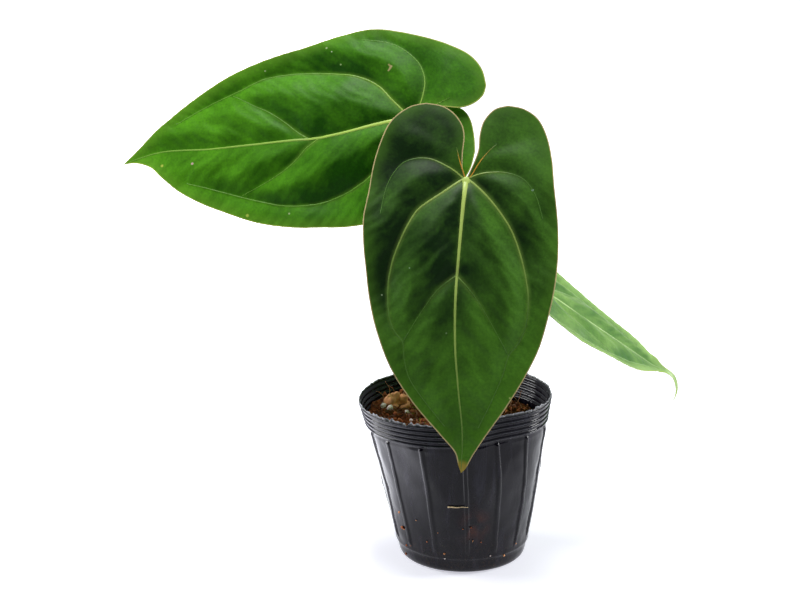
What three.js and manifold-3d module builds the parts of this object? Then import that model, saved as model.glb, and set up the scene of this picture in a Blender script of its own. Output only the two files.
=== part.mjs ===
// Potted anthurium hybrid: a crown with three heart-shaped leaves in a thin nursery pot.
// Millimetres, +Z up. The origin is the centre of the pot's base and the front leaf faces -Y.
import * as THREE from 'three';
import { mergeGeometries, mergeVertices } from 'three/addons/utils/BufferGeometryUtils.js';
import Module from 'manifold-3d';

const wasm = await Module();
wasm.setup();

// Pot sizes
const POT_HEIGHT = 102;
const POT_WALL = 1.0;
const FOOT_RADIUS = 35.5;
const WALL_FOOT_RADIUS = 41.6;
const WALL_FOOT_Z = 13.5;
const WALL_TAPER = 0.192;
const RIM_RADIUS = 60;
const BAND_Z = 86;
const BAND_RADIUS = 55.7;
const BAND_TAPER = 0.215;
const BAND_RINGS = 5;
const BAND_RING_DEPTH = 1.1;
const FLOOR_Z = 1.4;
const RIB_ANGLES = [-95, -71, -50, -24, 3, 27, 50, 73, 97, 121, 145, 169, 193, 217, 241];
const RIB_WIDTH = 2.4;
const RIB_HEIGHT = 0.8;
const DRAIN_HOLES = 5;
const DRAIN_RADIUS = 4;
const DRAIN_CIRCLE = 21;

// The thin pot leans: its rim has moved left, its right side stands higher, and its front is dented
const LEAN_OFFSET = -5.3;
const LEAN_TILT = 0.042;
const DENT_DEPTH = 7.5;
const DENT_ANGLE = 28;
const DENT_SPREAD = 21;

// Soil sizes
const SOIL_GAP = 0.6;
const SOIL_LEVEL = 87.5;
const SOIL_SLOPE = 0.09;
const SOIL_TOP_RADIUS = 53.4;

// Plant sizes
const BLADE_THICKNESS = 0.8;
const STALK_RADIUS = 2.1;
const SEAT_GAP = 0.35;
const CROWN = new THREE.Vector3(-4, 1, 96);

// Each leaf is a sheet. v runs along its midrib from the stalk's end to the tip, u runs across it.
// heading, pitch and roll are degrees: pitch is how far the midrib points down at each v.
// inner is the edge of the notch at the stalk, outer the margin from the lobe's end to the tip.
const LEAVES = {
  front: {
    base: [-0.5, -30, 245],
    heading: -90,
    pitch: [[-50, 48.7], [0, 55.7], [165, 78.8], [173, 84]],
    roll: [[0, 0]],
    arch: 0.0035,
    cup: 0,
    wave: 1.2,
    lobeDrop: 0,
    midrib: [[0, 0], [-2.4, 22], [-4.5, 45], [-6.7, 73], [-7, 100], [-5.3, 125], [-3, 150], [-3.7, 172.6]],
    minus: {
      inner: [[0, 0], [-2, -6], [-1.8, -15], [-0.8, -24], [-2, -32], [-7, -40], [-14, -45], [-23, -47]],
      outer: [
        [-23, -47], [-33, -44.7], [-43, -37], [-49, -26], [-54, -10], [-57, 8], [-60, 24], [-60, 40],
        [-58.5, 55], [-56.5, 72], [-52.3, 91], [-44, 113], [-31, 133], [-16, 150.5], [-7.5, 160.5],
        [-5.3, 168], [-3.7, 172.6],
      ],
    },
    plus: {
      inner: [[0, 0], [4.5, -9], [7.2, -17], [8, -26], [10.7, -35], [17, -42.5], [25, -45.5]],
      outer: [
        [25, -45.5], [34.5, -44], [43, -38], [48, -27], [50.5, -12], [51.3, 6], [53, 26], [53, 45],
        [51, 63.5], [47, 82], [41, 102], [32, 119.5], [21.5, 136], [11, 150.7], [3.5, 162],
        [-1, 170], [-3.7, 172.6],
      ],
    },
    veins: [
      [3.0, [[-2, 0.5], [-14.7, 9.5], [-27, 18.5], [-36, 33], [-42, 48], [-45, 66], [-44, 85], [-37, 106],
        [-26, 126], [-13, 145]]],
      [3.0, [[2, 1], [13.5, 13], [24.8, 29.7], [31, 47], [34.5, 65], [34, 86], [29, 106], [19, 127], [7, 147]]],
      [2.0, [[-2.7, -1.3], [-11, -7], [-21, -12], [-31.4, -12.2], [-39, -8], [-46, 4], [-50, 22]]],
      [2.0, [[4, -1.3], [14, -3.2], [24, -2.8], [33.3, 1.3], [40, 11], [44, 25]]],
      [1.2, [[-1.3, -2.8], [-5.2, -14.3], [-10, -26]]],
      [1.2, [[3, -1.7], [9, -10], [19, -26]]],
      [2.2, [[-5.8, 59], [-16.7, 68.6], [-25, 79], [-31.6, 90.5], [-37, 103]]],
      [2.2, [[-5.5, 59.7], [4.2, 70.4], [11, 82], [17.2, 92.4], [25, 110]]],
    ],
  },
  left: {
    base: [-32, 15, 272.2],
    heading: 172,
    pitch: [[-50, -2], [0, 3], [175, 20.5], [184, 24]],
    roll: [[0, -57]],
    arch: 0.003,
    cup: 0,
    wave: 1.0,
    lobeDrop: 4,
    midrib: [[0, 0], [4, 23], [8, 46], [8.5, 64], [7.3, 90], [3.6, 125], [-3.5, 158], [-3.4, 182.8]],
    minus: {
      inner: [[0, 0], [-2.5, -6], [-4.5, -12], [-5.4, -19], [-4.5, -29], [-7.5, -37], [-13, -42], [-19.5, -43.3]],
      outer: [
        [-19.5, -43.3], [-30, -40], [-39, -33], [-46, -22.5], [-52, -9], [-58, 10], [-60.3, 26],
        [-57.5, 43], [-53.3, 62], [-50, 79], [-44.5, 100], [-39, 117], [-31, 135], [-21, 153],
        [-11.5, 168], [-5, 180], [-3.4, 182.8],
      ],
    },
    plus: {
      inner: [[0, 0], [-0.5, -5], [-3.5, -11], [-7, -19], [-6.5, -27], [-3.5, -32], [3, -36], [13, -38.6], [22, -39.8]],
      outer: [
        [22, -39.8], [34, -37.5], [46, -30], [56, -17], [62, -2], [65, 15], [66.5, 32], [66.9, 45],
        [65.8, 59], [64.5, 74], [61, 89], [55.5, 104.4], [47.5, 120], [37, 137], [26, 150],
        [14, 159.5], [5, 165.5], [-1, 174], [-3.4, 182.8],
      ],
    },
    veins: [
      [3.0, [[-1, 2], [-12, 12.5], [-22, 21], [-29, 33], [-33.5, 50], [-36.3, 70], [-36, 88], [-31, 104],
        [-26.5, 122], [-18.8, 145]]],
      [3.0, [[2, 2], [15, 8], [27, 17], [38, 29], [45.5, 44], [50, 62], [48.5, 82], [42, 101], [34, 119], [22, 144]]],
      [2.0, [[-2, -2], [-12, -5.6], [-24, -6.6], [-35, -3], [-44, 5], [-50, 15], [-53, 30]]],
      [2.0, [[2, -3], [12, -9], [24, -10], [36, -5], [47, 6], [55, 22]]],
      [1.2, [[-1.5, -3], [-6, -12], [-11, -22]]],
      [1.2, [[1, -3], [3, -12], [8, -22]]],
      [2.2, [[8.5, 64], [-0.4, 73], [-8, 79.3], [-16, 87.6], [-22, 97], [-28, 108]]],
      [2.2, [[8.5, 56], [16, 65], [22, 73], [29, 84.5], [34, 98], [38, 109]]],
    ],
  },
  right: {
    base: [15.1, 30, 188.8],
    heading: 20.4,
    pitch: [[-40, 37.8], [0, 37.6], [150, 36.9], [159, 27], [165, 46], [185, 130]],
    roll: [[0, 18.3], [150, 18.3], [168, 66]],
    arch: 0.003,
    cup: 0.034,
    wave: 0.6,
    lobeDrop: 0,
    midrib: [[0, 0], [1.5, 40], [2, 80], [3, 120], [2.6, 150], [1.2, 165], [0, 185]],
    minus: {
      inner: [[0, 0], [-2.5, -6], [-3.5, -14], [-4.5, -22], [-9, -29], [-19, -33]],
      outer: [
        [-19, -33], [-29, -30], [-36, -21], [-40, -8], [-41.5, 8], [-42, 25], [-42.3, 42], [-43.4, 55],
        [-43.5, 68], [-42.5, 80], [-40, 92], [-37, 106], [-32, 119], [-23, 132], [-11, 146],
        [-1.6, 156], [-0.4, 163], [-0.6, 174], [0, 185],
      ],
    },
    plus: {
      inner: [[0, 0], [2.5, -6], [3.5, -14], [4.5, -22], [9, -29], [20, -33]],
      outer: [
        [20, -33], [31, -30], [41, -21], [48, -8], [51, 10], [52, 30], [51.5, 48], [50.5, 64],
        [48.5, 78], [44, 92], [38.5, 108], [31, 125], [21.5, 141], [12, 151.5], [5, 157.5],
        [2.8, 163], [1.6, 174], [0, 185],
      ],
    },
    veins: [
      [2.6, [[-2, 1], [-13, 10], [-24, 24], [-30, 42], [-33, 62], [-33, 80], [-30, 98], [-22, 118], [-10, 140]]],
      [2.6, [[2, 1], [13, 10], [25, 24], [33, 42], [36, 62], [35, 82], [31, 102], [24, 122], [12, 142]]],
      [1.6, [[-2, -2], [-11, -6], [-22, -6], [-31, 2], [-36, 16]]],
      [1.6, [[2, -2], [12, -6], [25, -6], [36, 2], [42, 18]]],
      [2.0, [[2, 52], [-10, 64], [-18, 78], [-25, 94], [-29, 104]]],
      [2.0, [[2, 52], [13, 64], [21, 78], [27, 94], [30, 105]]],
    ],
  },
};

// Stalk paths from the crown to the back of each blade, with their bends between
const STALKS = {
  front: [[-4, -5, 96], [-4, -12, 118], [-3, -22, 160], [-1.5, -27.5, 205], [-0.8, -25.5, 232]],
  left: [[-9.5, 3.5, 94], [-14, 6, 118], [-23, 12, 165], [-29, 19, 215], [-31, 23, 252]],
  right: [[1.5, 4.5, 93], [6, 9, 112], [10, 17, 138], [10, 25, 162], [9, 29.5, 176]],
};

const rad = THREE.MathUtils.degToRad;

// Random numbers from 0 to 1, the same ones on every run
function seeded(seed) {
  let state = seed;
  return () => {
    state = (state * 1664525 + 1013904223) % 4294967296;
    return state / 4294967296;
  };
}

function smooth(from, to, value) {
  return THREE.MathUtils.smoothstep(value, from, to);
}

// A value read from a short table of [place, value] pairs, straight between them
function ramp(table, place) {
  if (place <= table[0][0]) {
    return table[0][1];
  }
  for (let i = 1; i < table.length; i += 1) {
    const [a, from] = table[i - 1];
    const [b, to] = table[i];
    if (place <= b) {
      return from + ((to - from) * (place - a)) / (b - a);
    }
  }
  return table[table.length - 1][1];
}

// The same surface with shared corners merged and empty triangles dropped
function weld(geometry) {
  geometry.deleteAttribute('normal');
  geometry.deleteAttribute('uv');
  const joined = mergeVertices(geometry, 1e-3);
  const index = joined.index.array;
  const kept = [];
  for (let i = 0; i < index.length; i += 3) {
    const [a, b, c] = [index[i], index[i + 1], index[i + 2]];
    if (a !== b && b !== c && c !== a) {
      kept.push(a, b, c);
    }
  }
  joined.setIndex(kept);
  return joined;
}

// Booleans on closed geometry
function toManifold(geometry) {
  const welded = weld(geometry);
  return new wasm.Manifold(new wasm.Mesh({
    numProp: 3,
    vertProperties: new Float32Array(welded.attributes.position.array),
    triVerts: new Uint32Array(welded.index.array),
  }));
}

function fromManifold(solid) {
  const result = solid.getMesh();
  const geometry = new THREE.BufferGeometry();
  geometry.setAttribute('position', new THREE.BufferAttribute(new Float32Array(result.vertProperties), 3));
  geometry.setIndex(new THREE.BufferAttribute(new Uint32Array(result.triVerts), 1));
  return geometry;
}

function finish(name, geometry, color, roughness) {
  const material = new THREE.MeshStandardMaterial({ color, roughness, metalness: 0 });
  const mesh = new THREE.Mesh(geometry, material);
  mesh.name = name;
  return mesh;
}

// Pot and soil share the lean of the thin wall
function lean(position) {
  const share = Math.max(0, position.z) / POT_HEIGHT;
  const angle = THREE.MathUtils.radToDeg(Math.atan2(position.x, -position.y));
  const dent = DENT_DEPTH * smooth(0.5, 1, share) * Math.exp(-(((angle - DENT_ANGLE) / DENT_SPREAD) ** 2));
  position.x *= 1 - dent / RIM_RADIUS;
  position.y *= 1 - dent / RIM_RADIUS;
  const tilt = LEAN_TILT * share ** 1.5 * position.x;
  position.x += LEAN_OFFSET * share ** 1.5;
  position.z += tilt;
  return position;
}

// A turned body whose radius may change with the angle, seen from the front as 0 degrees
function turned(profile, angles, radiusAt, heightAt) {
  const levels = profile.map(([r, z]) => new THREE.Vector2(r, z));
  const geometry = new THREE.LatheGeometry(levels, angles.length);
  const position = geometry.attributes.position;
  const point = new THREE.Vector3();
  for (let i = 0; i < position.count; i += 1) {
    const level = i % levels.length;
    const angle = rad(angles[Math.floor(i / levels.length) % angles.length]);
    const radius = radiusAt(level, angle);
    point.set(radius * Math.sin(angle), -radius * Math.cos(angle), heightAt(level, angle, radius));
    lean(point);
    position.setXYZ(i, point.x, point.y, point.z);
  }
  return geometry;
}

// The rim band: five soft rings one above another
function bandProfile() {
  const points = [];
  const pitch = (POT_HEIGHT - 0.4 - BAND_Z) / BAND_RINGS;
  for (let i = 0; i <= BAND_RINGS * 2; i += 1) {
    const z = BAND_Z + (i * pitch) / 2;
    const ring = i % 2 === 1 ? BAND_RING_DEPTH / 2 : -BAND_RING_DEPTH / 2;
    points.push([BAND_RADIUS + BAND_TAPER * (z - BAND_Z) + ring, z]);
  }
  return points;
}

function wallRadius(z) {
  return WALL_FOOT_RADIUS + WALL_TAPER * (z - WALL_FOOT_Z);
}

// Nursery pot: a rounded foot, a tapered wall with ribs, and a corrugated rim band
function makePot() {
  const band = bandProfile();
  const outer = [
    [FOOT_RADIUS, 0], [38.2, 1.5], [39.4, 4.3], [40.0, 9.2], [40.9, 9.9],
    [wallRadius(12.2), 12.2], [wallRadius(14), 14], [wallRadius(48), 48], [wallRadius(82.5), 82.5],
    [wallRadius(84.5), 84.5], ...band, [RIM_RADIUS, POT_HEIGHT],
  ];
  const inner = [
    [RIM_RADIUS - POT_WALL, POT_HEIGHT - 0.1],
    ...band.slice().reverse().map(([r, z]) => [r - POT_WALL, z - 0.2]),
    [wallRadius(84.5) - POT_WALL, 84.5], [wallRadius(40) - POT_WALL, 40], [wallRadius(14) - POT_WALL, 14],
    [38.8, 8.6], [37.8, 4.6], [34.6, FLOOR_Z],
  ];
  const profile = [[0, 0], ...outer, ...inner, [0, FLOOR_Z]];
  const ribbed = new Set([7, 8, 9]);
  const angles = [];
  RIB_ANGLES.forEach((angle, i) => {
    const next = i + 1 < RIB_ANGLES.length ? RIB_ANGLES[i + 1] : RIB_ANGLES[0] + 360;
    angles.push(angle - 1.5, angle, angle + 1.5, (angle + next) / 2);
  });
  const radiusAt = (level, angle) => {
    const base = profile[level][0];
    const degrees = THREE.MathUtils.radToDeg(angle);
    const onRib = RIB_ANGLES.some((rib) => Math.abs(rib - degrees) < 0.1);
    return ribbed.has(level) && onRib ? base + RIB_HEIGHT : base;
  };
  const solid = toManifold(turned(profile, angles, radiusAt, (level) => profile[level][1]));
  const holes = [];
  for (let i = 0; i < DRAIN_HOLES; i += 1) {
    const angle = rad(36 + (i * 360) / DRAIN_HOLES);
    const hole = new THREE.CylinderGeometry(DRAIN_RADIUS, DRAIN_RADIUS, 6, 12);
    hole.rotateX(Math.PI / 2);
    hole.translate(DRAIN_CIRCLE * Math.sin(angle), -DRAIN_CIRCLE * Math.cos(angle), 0);
    holes.push(toManifold(hole));
  }
  const drilled = holes.reduce((body, hole) => body.subtract(hole), solid);
  return finish('pot', fromManifold(drilled), 0x17181b, 0.28);
}

// Height of the soil's lumpy surface
function soilHeight(x, y) {
  const mound = 1.2 * Math.exp(-((x + 36) ** 2 + (y - 4) ** 2) / 500);
  const lumps = 0.9 * Math.sin(x * 0.31 + 1.3) * Math.cos(y * 0.27 - 0.6);
  const grains = 0.5 * Math.sin(x * 0.83 - y * 0.55 + 2.1);
  return SOIL_LEVEL - SOIL_SLOPE * x + mound + lumps + grains;
}

// Bark and perlite pieces, fused into the surface with their lower half sunk in
function makeChunks() {
  const random = seeded(7);
  const chunks = [[-36, 22, 6.2, 5], [-30, 27, 4, 3.4], [-43, 12, 2.6, 2.2], [36, 12, 3.6, 2.6]];
  for (let i = 0; i < 14; i += 1) {
    const angle = random() * Math.PI * 2;
    const distance = 16 + 30 * Math.sqrt(random());
    const size = 2 + 2.4 * random();
    chunks.push([distance * Math.sin(angle), -distance * Math.cos(angle), size, size * 0.7]);
  }
  return chunks.map(([x, y, width, height]) => {
    const chunk = new THREE.IcosahedronGeometry(1, 0);
    chunk.rotateZ(random() * 6);
    chunk.rotateX(random() * 6);
    chunk.scale(width, width * (0.6 + 0.3 * random()), height);
    const place = lean(new THREE.Vector3(x, y, soilHeight(x, y) + height * 0.2));
    chunk.translate(place.x, place.y, place.z);
    return toManifold(chunk);
  });
}

// Coir and bark mix that fills the pot, with its plain holes for the stem and the roots
function makeSoil(holes) {
  const angles = Array.from({ length: 48 }, (_, i) => i * 7.5);
  const rings = [45, 36, 28, 20, 12, 5];
  const side = [
    [33, FLOOR_Z + 0.5], [wallRadius(14) - POT_WALL - SOIL_GAP - 2.4, 6.5],
    [wallRadius(14) - POT_WALL - SOIL_GAP, 14.6], [wallRadius(80) - POT_WALL - SOIL_GAP, 80],
    [SOIL_TOP_RADIUS, SOIL_LEVEL],
  ];
  const profile = [[0, FLOOR_Z + 0.5], ...side, ...rings.map((r) => [r, SOIL_LEVEL]), [0, SOIL_LEVEL]];
  const firstTop = side.length;
  const heightAt = (level, angle, radius) => {
    if (level < firstTop) {
      return profile[level][1];
    }
    const x = radius * Math.sin(angle);
    const y = -radius * Math.cos(angle);
    return soilHeight(x, y);
  };
  const body = toManifold(turned(profile, angles, (level) => profile[level][0], heightAt));
  const lumpy = makeChunks().reduce((solid, chunk) => solid.add(chunk), body);
  const bored = holes.reduce((solid, hole) => solid.subtract(hole), lumpy);
  return finish('soil', fromManifold(bored), 0x5a3320, 0.95);
}

// A round rod along a curve, closed at both ends. grow makes the wider one that cuts its seat.
function bentRod(curve, radii, sides, steps, grow = 0) {
  const frames = curve.computeFrenetFrames(steps, false);
  const profile = [new THREE.Vector2(0, 0)];
  for (let i = 0; i <= steps; i += 1) {
    profile.push(new THREE.Vector2(ramp(radii, i / steps) + grow, i));
  }
  profile.push(new THREE.Vector2(0, steps));
  const geometry = new THREE.LatheGeometry(profile, sides);
  const position = geometry.attributes.position;
  const point = new THREE.Vector3();
  for (let i = 0; i < position.count; i += 1) {
    const level = Math.round(position.getY(i));
    point.copy(curve.getPointAt(level / steps));
    point.addScaledVector(frames.normals[level], position.getX(i));
    point.addScaledVector(frames.binormals[level], -position.getZ(i));
    if (level === 0) {
      point.addScaledVector(frames.tangents[0], -grow);
    }
    if (level === steps) {
      point.addScaledVector(frames.tangents[steps], grow);
    }
    position.setXYZ(i, point.x, point.y, point.z);
  }
  return geometry;
}

function curveThrough(points) {
  return new THREE.CatmullRomCurve3(points.map((p) => new THREE.Vector3(...p)), false, 'centripetal');
}

// Leaf sheet: the place of (u, v) in space, raised by height along its normal
function makeSheet(leaf) {
  const heading = rad(leaf.heading);
  const walk = { '0': [0, 0] };
  for (const way of [1, -1]) {
    let along = 0;
    let down = 0;
    for (let i = 1; i <= 200; i += 1) {
      const pitch = rad(ramp(leaf.pitch, way * (i - 0.5)));
      along += way * Math.cos(pitch);
      down += way * Math.sin(pitch);
      walk[way * i] = [along, down];
    }
  }
  return (u, v, height) => {
    const cell = Math.floor(v);
    const part = v - cell;
    const along = walk[cell][0] * (1 - part) + walk[cell + 1][0] * part;
    const down = walk[cell][1] * (1 - part) + walk[cell + 1][1] * part;
    const pitch = rad(ramp(leaf.pitch, v));
    const roll = rad(ramp(leaf.roll, v));
    const side = new THREE.Vector3(-Math.sin(heading), Math.cos(heading), 0);
    const up = new THREE.Vector3(
      Math.cos(heading) * Math.sin(pitch),
      Math.sin(heading) * Math.sin(pitch),
      Math.cos(pitch),
    );
    const across = side.clone().multiplyScalar(Math.cos(roll)).addScaledVector(up, Math.sin(roll));
    const normal = up.clone().multiplyScalar(Math.cos(roll)).addScaledVector(side, -Math.sin(roll));
    const width = Math.sin(leaf.arch * u) / leaf.arch;
    const sag = (Math.cos(leaf.arch * u) - 1) / leaf.arch + leaf.cup * Math.abs(u);
    const place = new THREE.Vector3(...leaf.base);
    place.add(new THREE.Vector3(Math.cos(heading) * along, Math.sin(heading) * along, -down));
    place.addScaledVector(across, width);
    place.addScaledVector(normal, sag + height);
    return place;
  };
}

function spline(points, count) {
  return new THREE.SplineCurve(points.map(([u, v]) => new THREE.Vector2(u, v))).getPoints(count);
}

// u on a curve that only ever moves one way in v
function acrossAt(points, v) {
  const table = points.map((p) => [p.y, p.x]).sort((a, b) => a[0] - b[0]);
  return ramp(table, v);
}

// Veins lie in valleys and the blade bulges between them
function veinRelief(veins, u, v) {
  let sum = 0;
  for (const { depth, points } of veins) {
    let best = 0;
    for (let i = 0; i < points.length; i += 1) {
      const away = Math.hypot(points[i].x - u, points[i].y - v);
      const fade = 1 - 0.75 * (i / points.length) ** 2;
      best = Math.max(best, fade * Math.exp(-(Math.sqrt(away * away + 4) - 2) / 8));
    }
    sum += (depth * best) ** 4;
  }
  return -(sum ** 0.25);
}

// One half of a blade as an open sheet, bent to its place, row by row along the midrib
function halfSheet(leaf, sheet, half, veins, columns) {
  const midrib = spline(leaf.midrib, 120);
  const inner = spline(half.inner, 120);
  const outer = spline(half.outer, 240);
  const end = half.outer[0][1];
  const tip = half.outer[half.outer.length - 1][1];
  const rows = [];
  for (const share of [0, 0.06, 0.2, 0.4, 0.64, 0.85]) {
    rows.push(end * (1 - share));
  }
  for (const share of [0, 1.4, 3.6, 7, 11, 16, 22, 29, 36, 43, 50, 57, 64, 71, 77, 82.5, 87, 90.5, 93.5, 96, 98.5, 100]) {
    rows.push((tip * share) / 100);
  }
  const grid = new THREE.PlaneGeometry(1, 1, columns, rows.length - 1);
  const position = grid.attributes.position;
  const side = Math.sign(half.outer[1][0] - half.inner[0][0]);
  for (let i = 0; i < position.count; i += 1) {
    const column = i % (columns + 1);
    const v = rows[Math.floor(i / (columns + 1))];
    const from = v < 0 ? acrossAt(inner, v) : acrossAt(midrib, v);
    const to = acrossAt(outer, v);
    const share = column / columns;
    const u = v === tip || v === end ? to : from + (to - from) * share;
    const middle = acrossAt(midrib, Math.max(0, v));
    const edge = Math.min(1, Math.abs(u - middle) / 45);
    const wave = leaf.wave * edge ** 2 * Math.sin(v / 11 + side);
    const drop = side > 0 ? leaf.lobeDrop * smooth(0, 12, -v) * (1 - smooth(8, 40, u)) : 0;
    const taper = smooth(0, 16, tip - v);
    const place = sheet(u, v, veinRelief(veins, u, v) * taper + wave * taper - drop);
    position.setXYZ(i, place.x, place.y, place.z);
  }
  if (side < 0) {
    const index = grid.index.array;
    for (let i = 0; i < index.length; i += 3) {
      [index[i], index[i + 1]] = [index[i + 1], index[i]];
    }
  }
  return grid;
}

// An open sheet closed into a thin body: both faces have the same triangles
function thicken(open, thicknessAt) {
  const sheet = weld(open);
  sheet.computeVertexNormals();
  const index = Array.from(sheet.index.array);
  const position = sheet.attributes.position;
  const normal = sheet.attributes.normal;
  const count = position.count;
  const places = Array.from(position.array);
  for (let i = 0; i < count; i += 1) {
    const thickness = thicknessAt(new THREE.Vector3().fromBufferAttribute(position, i));
    places.push(position.getX(i) - normal.getX(i) * thickness);
    places.push(position.getY(i) - normal.getY(i) * thickness);
    places.push(position.getZ(i) - normal.getZ(i) * thickness);
  }
  const faces = index.slice();
  const free = new Map();
  for (let i = 0; i < index.length; i += 3) {
    const corners = [index[i], index[i + 1], index[i + 2]];
    faces.push(corners[0] + count, corners[2] + count, corners[1] + count);
    corners.forEach((corner, k) => {
      const next = corners[(k + 1) % 3];
      if (!free.delete(`${next}_${corner}`)) {
        free.set(`${corner}_${next}`, [corner, next]);
      }
    });
  }
  for (const [a, b] of free.values()) {
    faces.push(b, a, a + count, b, a + count, b + count);
  }
  const body = new THREE.BufferGeometry();
  body.setAttribute('position', new THREE.Float32BufferAttribute(places, 3));
  body.setIndex(faces);
  return body;
}

function leafVeins(leaf) {
  return [[2.2, leaf.midrib], ...leaf.veins].map(([depth, points]) => ({
    depth,
    points: spline(points, points.length * 4),
  }));
}

// Heart-shaped blade with a notch at the stalk, quilted by its veins, its midrib thicker behind
function makeBlade(name, leaf, color) {
  const sheet = makeSheet(leaf);
  const veins = leafVeins(leaf);
  const halves = [leaf.minus, leaf.plus].map((half) => halfSheet(leaf, sheet, half, veins, 8));
  const rib = spline(leaf.midrib, 60).map((p) => sheet(p.x, Math.min(p.y, 198), veinRelief(veins, p.x, p.y)));
  const thicknessAt = (place) => {
    const away = Math.min(...rib.map((p) => p.distanceTo(place)));
    const nearest = rib.findIndex((p) => p.distanceTo(place) === away);
    const taper = 1 - nearest / rib.length;
    return away < 1.6 ? BLADE_THICKNESS + 1.3 * taper : BLADE_THICKNESS;
  };
  return finish(name, thicken(mergeGeometries(halves), thicknessAt), color, 0.45);
}

// Round leaf stalk, thicker at its foot and at the joint behind the blade
const STALK_RADII = [[0, 3.1], [0.08, 2.7], [0.2, STALK_RADIUS], [0.9, STALK_RADIUS], [0.95, 2.7], [1, 2.6]];

function stalkCurve(name) {
  const leaf = LEAVES[name];
  const sheet = makeSheet(leaf);
  const back = veinRelief(leafVeins(leaf), 0, 2) - 3.4;
  const seat = sheet(0, 2, back);
  const before = sheet(0, 2, back - 6);
  return curveThrough([...STALKS[name], before.toArray(), seat.toArray()]);
}

function makeStalk(name) {
  const rod = weld(bentRod(stalkCurve(name), STALK_RADII, 8, 16));
  return finish(`petiole_${name}`, rod, 0x6f9a3f, 0.5);
}

// Short crown and its roots
const CROWN_CURVE = curveThrough([[-4.5, 0, 70], [-4.3, 0.4, 82], [-4, 1, 94], [-3.6, 1.4, 105]]);
const CROWN_RADII = [[0, 4.5], [0.3, 6.6], [0.7, 7.2], [0.9, 5.6], [1, 2.6]];

function rootCurves() {
  const random = seeded(21);
  return [20, 92, 165, 236, 308].map((degrees) => {
    const angle = rad(degrees + 14 * random());
    const reach = 24 + 8 * random();
    const depth = 30 + 20 * random();
    const at = (share, drop) => [
      -4.5 + reach * share * Math.sin(angle),
      -reach * share * Math.cos(angle),
      76 - drop,
    ];
    return curveThrough([at(0.1, 0), at(0.55, 6), at(0.95, depth * 0.55), at(1, depth)]);
  });
}

const ROOT_RADII = [[0, 2], [0.6, 1.6], [1, 0.9]];

// Dry bract that wraps the crown's foot: a narrow pointed blade, bent outward at its tip
function makeBract(degrees, length) {
  const angle = rad(degrees);
  const grid = new THREE.PlaneGeometry(1, 1, 2, 7);
  const position = grid.attributes.position;
  for (let i = 0; i < position.count; i += 1) {
    const share = Math.floor(i / 3) / 7;
    const turn = angle + (((i % 3) - 1) * 0.62 * (1 - share ** 1.6) + 0.0001);
    const radius = 6.2 + 3.4 * share ** 1.5;
    position.setXYZ(
      i,
      CROWN.x + radius * Math.sin(turn),
      CROWN.y - radius * Math.cos(turn),
      90 + length * share,
    );
  }
  return thicken(grid, () => BLADE_THICKNESS);
}

function makeStem() {
  const core = toManifold(bentRod(CROWN_CURVE, CROWN_RADII, 12, 8));
  const roots = rootCurves().map((curve) => toManifold(bentRod(curve, ROOT_RADII, 6, 8)));
  const bracts = [[-62, 27], [62, 24], [181, 30]].map(([angle, length]) => toManifold(makeBract(angle, length)));
  const body = [...roots, ...bracts].reduce((solid, piece) => solid.add(piece), core);
  const seats = Object.keys(STALKS).map((name) => {
    return toManifold(bentRod(stalkCurve(name), STALK_RADII, 8, 16, SEAT_GAP));
  });
  const seated = seats.reduce((solid, seat) => solid.subtract(seat), body);
  return finish('stem', fromManifold(seated), 0x7c8a4a, 0.7);
}

function soilHoles() {
  const bores = [toManifold(bentRod(CROWN_CURVE, CROWN_RADII, 12, 8, SEAT_GAP))];
  for (const curve of rootCurves()) {
    bores.push(toManifold(bentRod(curve, ROOT_RADII, 6, 8, SEAT_GAP)));
  }
  return bores;
}

const plant = new THREE.Group();
plant.name = 'potted_anthurium';
plant.add(makePot());
plant.add(makeSoil(soilHoles()));
plant.add(makeStem());
plant.add(makeStalk('front'));
plant.add(makeStalk('left'));
plant.add(makeStalk('right'));
plant.add(makeBlade('blade_front', LEAVES.front, 0x23491c));
plant.add(makeBlade('blade_left', LEAVES.left, 0x347a22));
plant.add(makeBlade('blade_right', LEAVES.right, 0x4b8a38));

export default plant;
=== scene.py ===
import math

import bmesh
import bpy
import numpy as np
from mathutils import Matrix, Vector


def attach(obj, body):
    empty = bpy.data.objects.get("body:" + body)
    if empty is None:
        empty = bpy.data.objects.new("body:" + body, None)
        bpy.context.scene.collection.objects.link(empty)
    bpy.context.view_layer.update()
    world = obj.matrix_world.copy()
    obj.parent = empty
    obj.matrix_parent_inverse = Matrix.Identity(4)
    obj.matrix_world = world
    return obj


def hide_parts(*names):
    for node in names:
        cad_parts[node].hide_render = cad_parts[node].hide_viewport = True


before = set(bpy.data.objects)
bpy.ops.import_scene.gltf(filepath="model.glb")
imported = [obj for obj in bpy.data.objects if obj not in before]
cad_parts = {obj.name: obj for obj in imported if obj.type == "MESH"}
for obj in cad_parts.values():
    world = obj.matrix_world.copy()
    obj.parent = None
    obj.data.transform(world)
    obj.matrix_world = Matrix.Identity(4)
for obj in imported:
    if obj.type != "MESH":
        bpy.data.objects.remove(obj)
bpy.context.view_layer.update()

# Nursery pot. The real one is black polythene film, vacuum formed and about half a millimetre thick: a
# tapered wall with upright ribs, a rim band of five rings, and a flat foot. It has been handled and stands
# a little bent.
MM = 0.001
POT_HEIGHT = 102
RIM_RADIUS = 60
FILM = 0.6
BAND_Z = 86
BAND_RADIUS = 55.7
BAND_TAPER = 0.215
RING_PITCH = 3.12
RING_DEPTH = 1.1
RIB_ANGLES = [-95, -71, -50, -24, 3, 27, 50, 73, 97, 121, 145, 169, 193, 217, 241]
RIB_HEIGHT = 0.8
FOOT = [(34.2, 0), (35.5, 0.05), (37, 0.6), (38.2, 1.6), (39, 3), (39.4, 4.5), (39.8, 7), (39.9, 9),
        (40.2, 9.45),
        (40.7, 9.7), (41.1, 10.2), (41.4, 11.2), (41.45, 12.2)]
FOOT_INSIDE = 33.6
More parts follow.
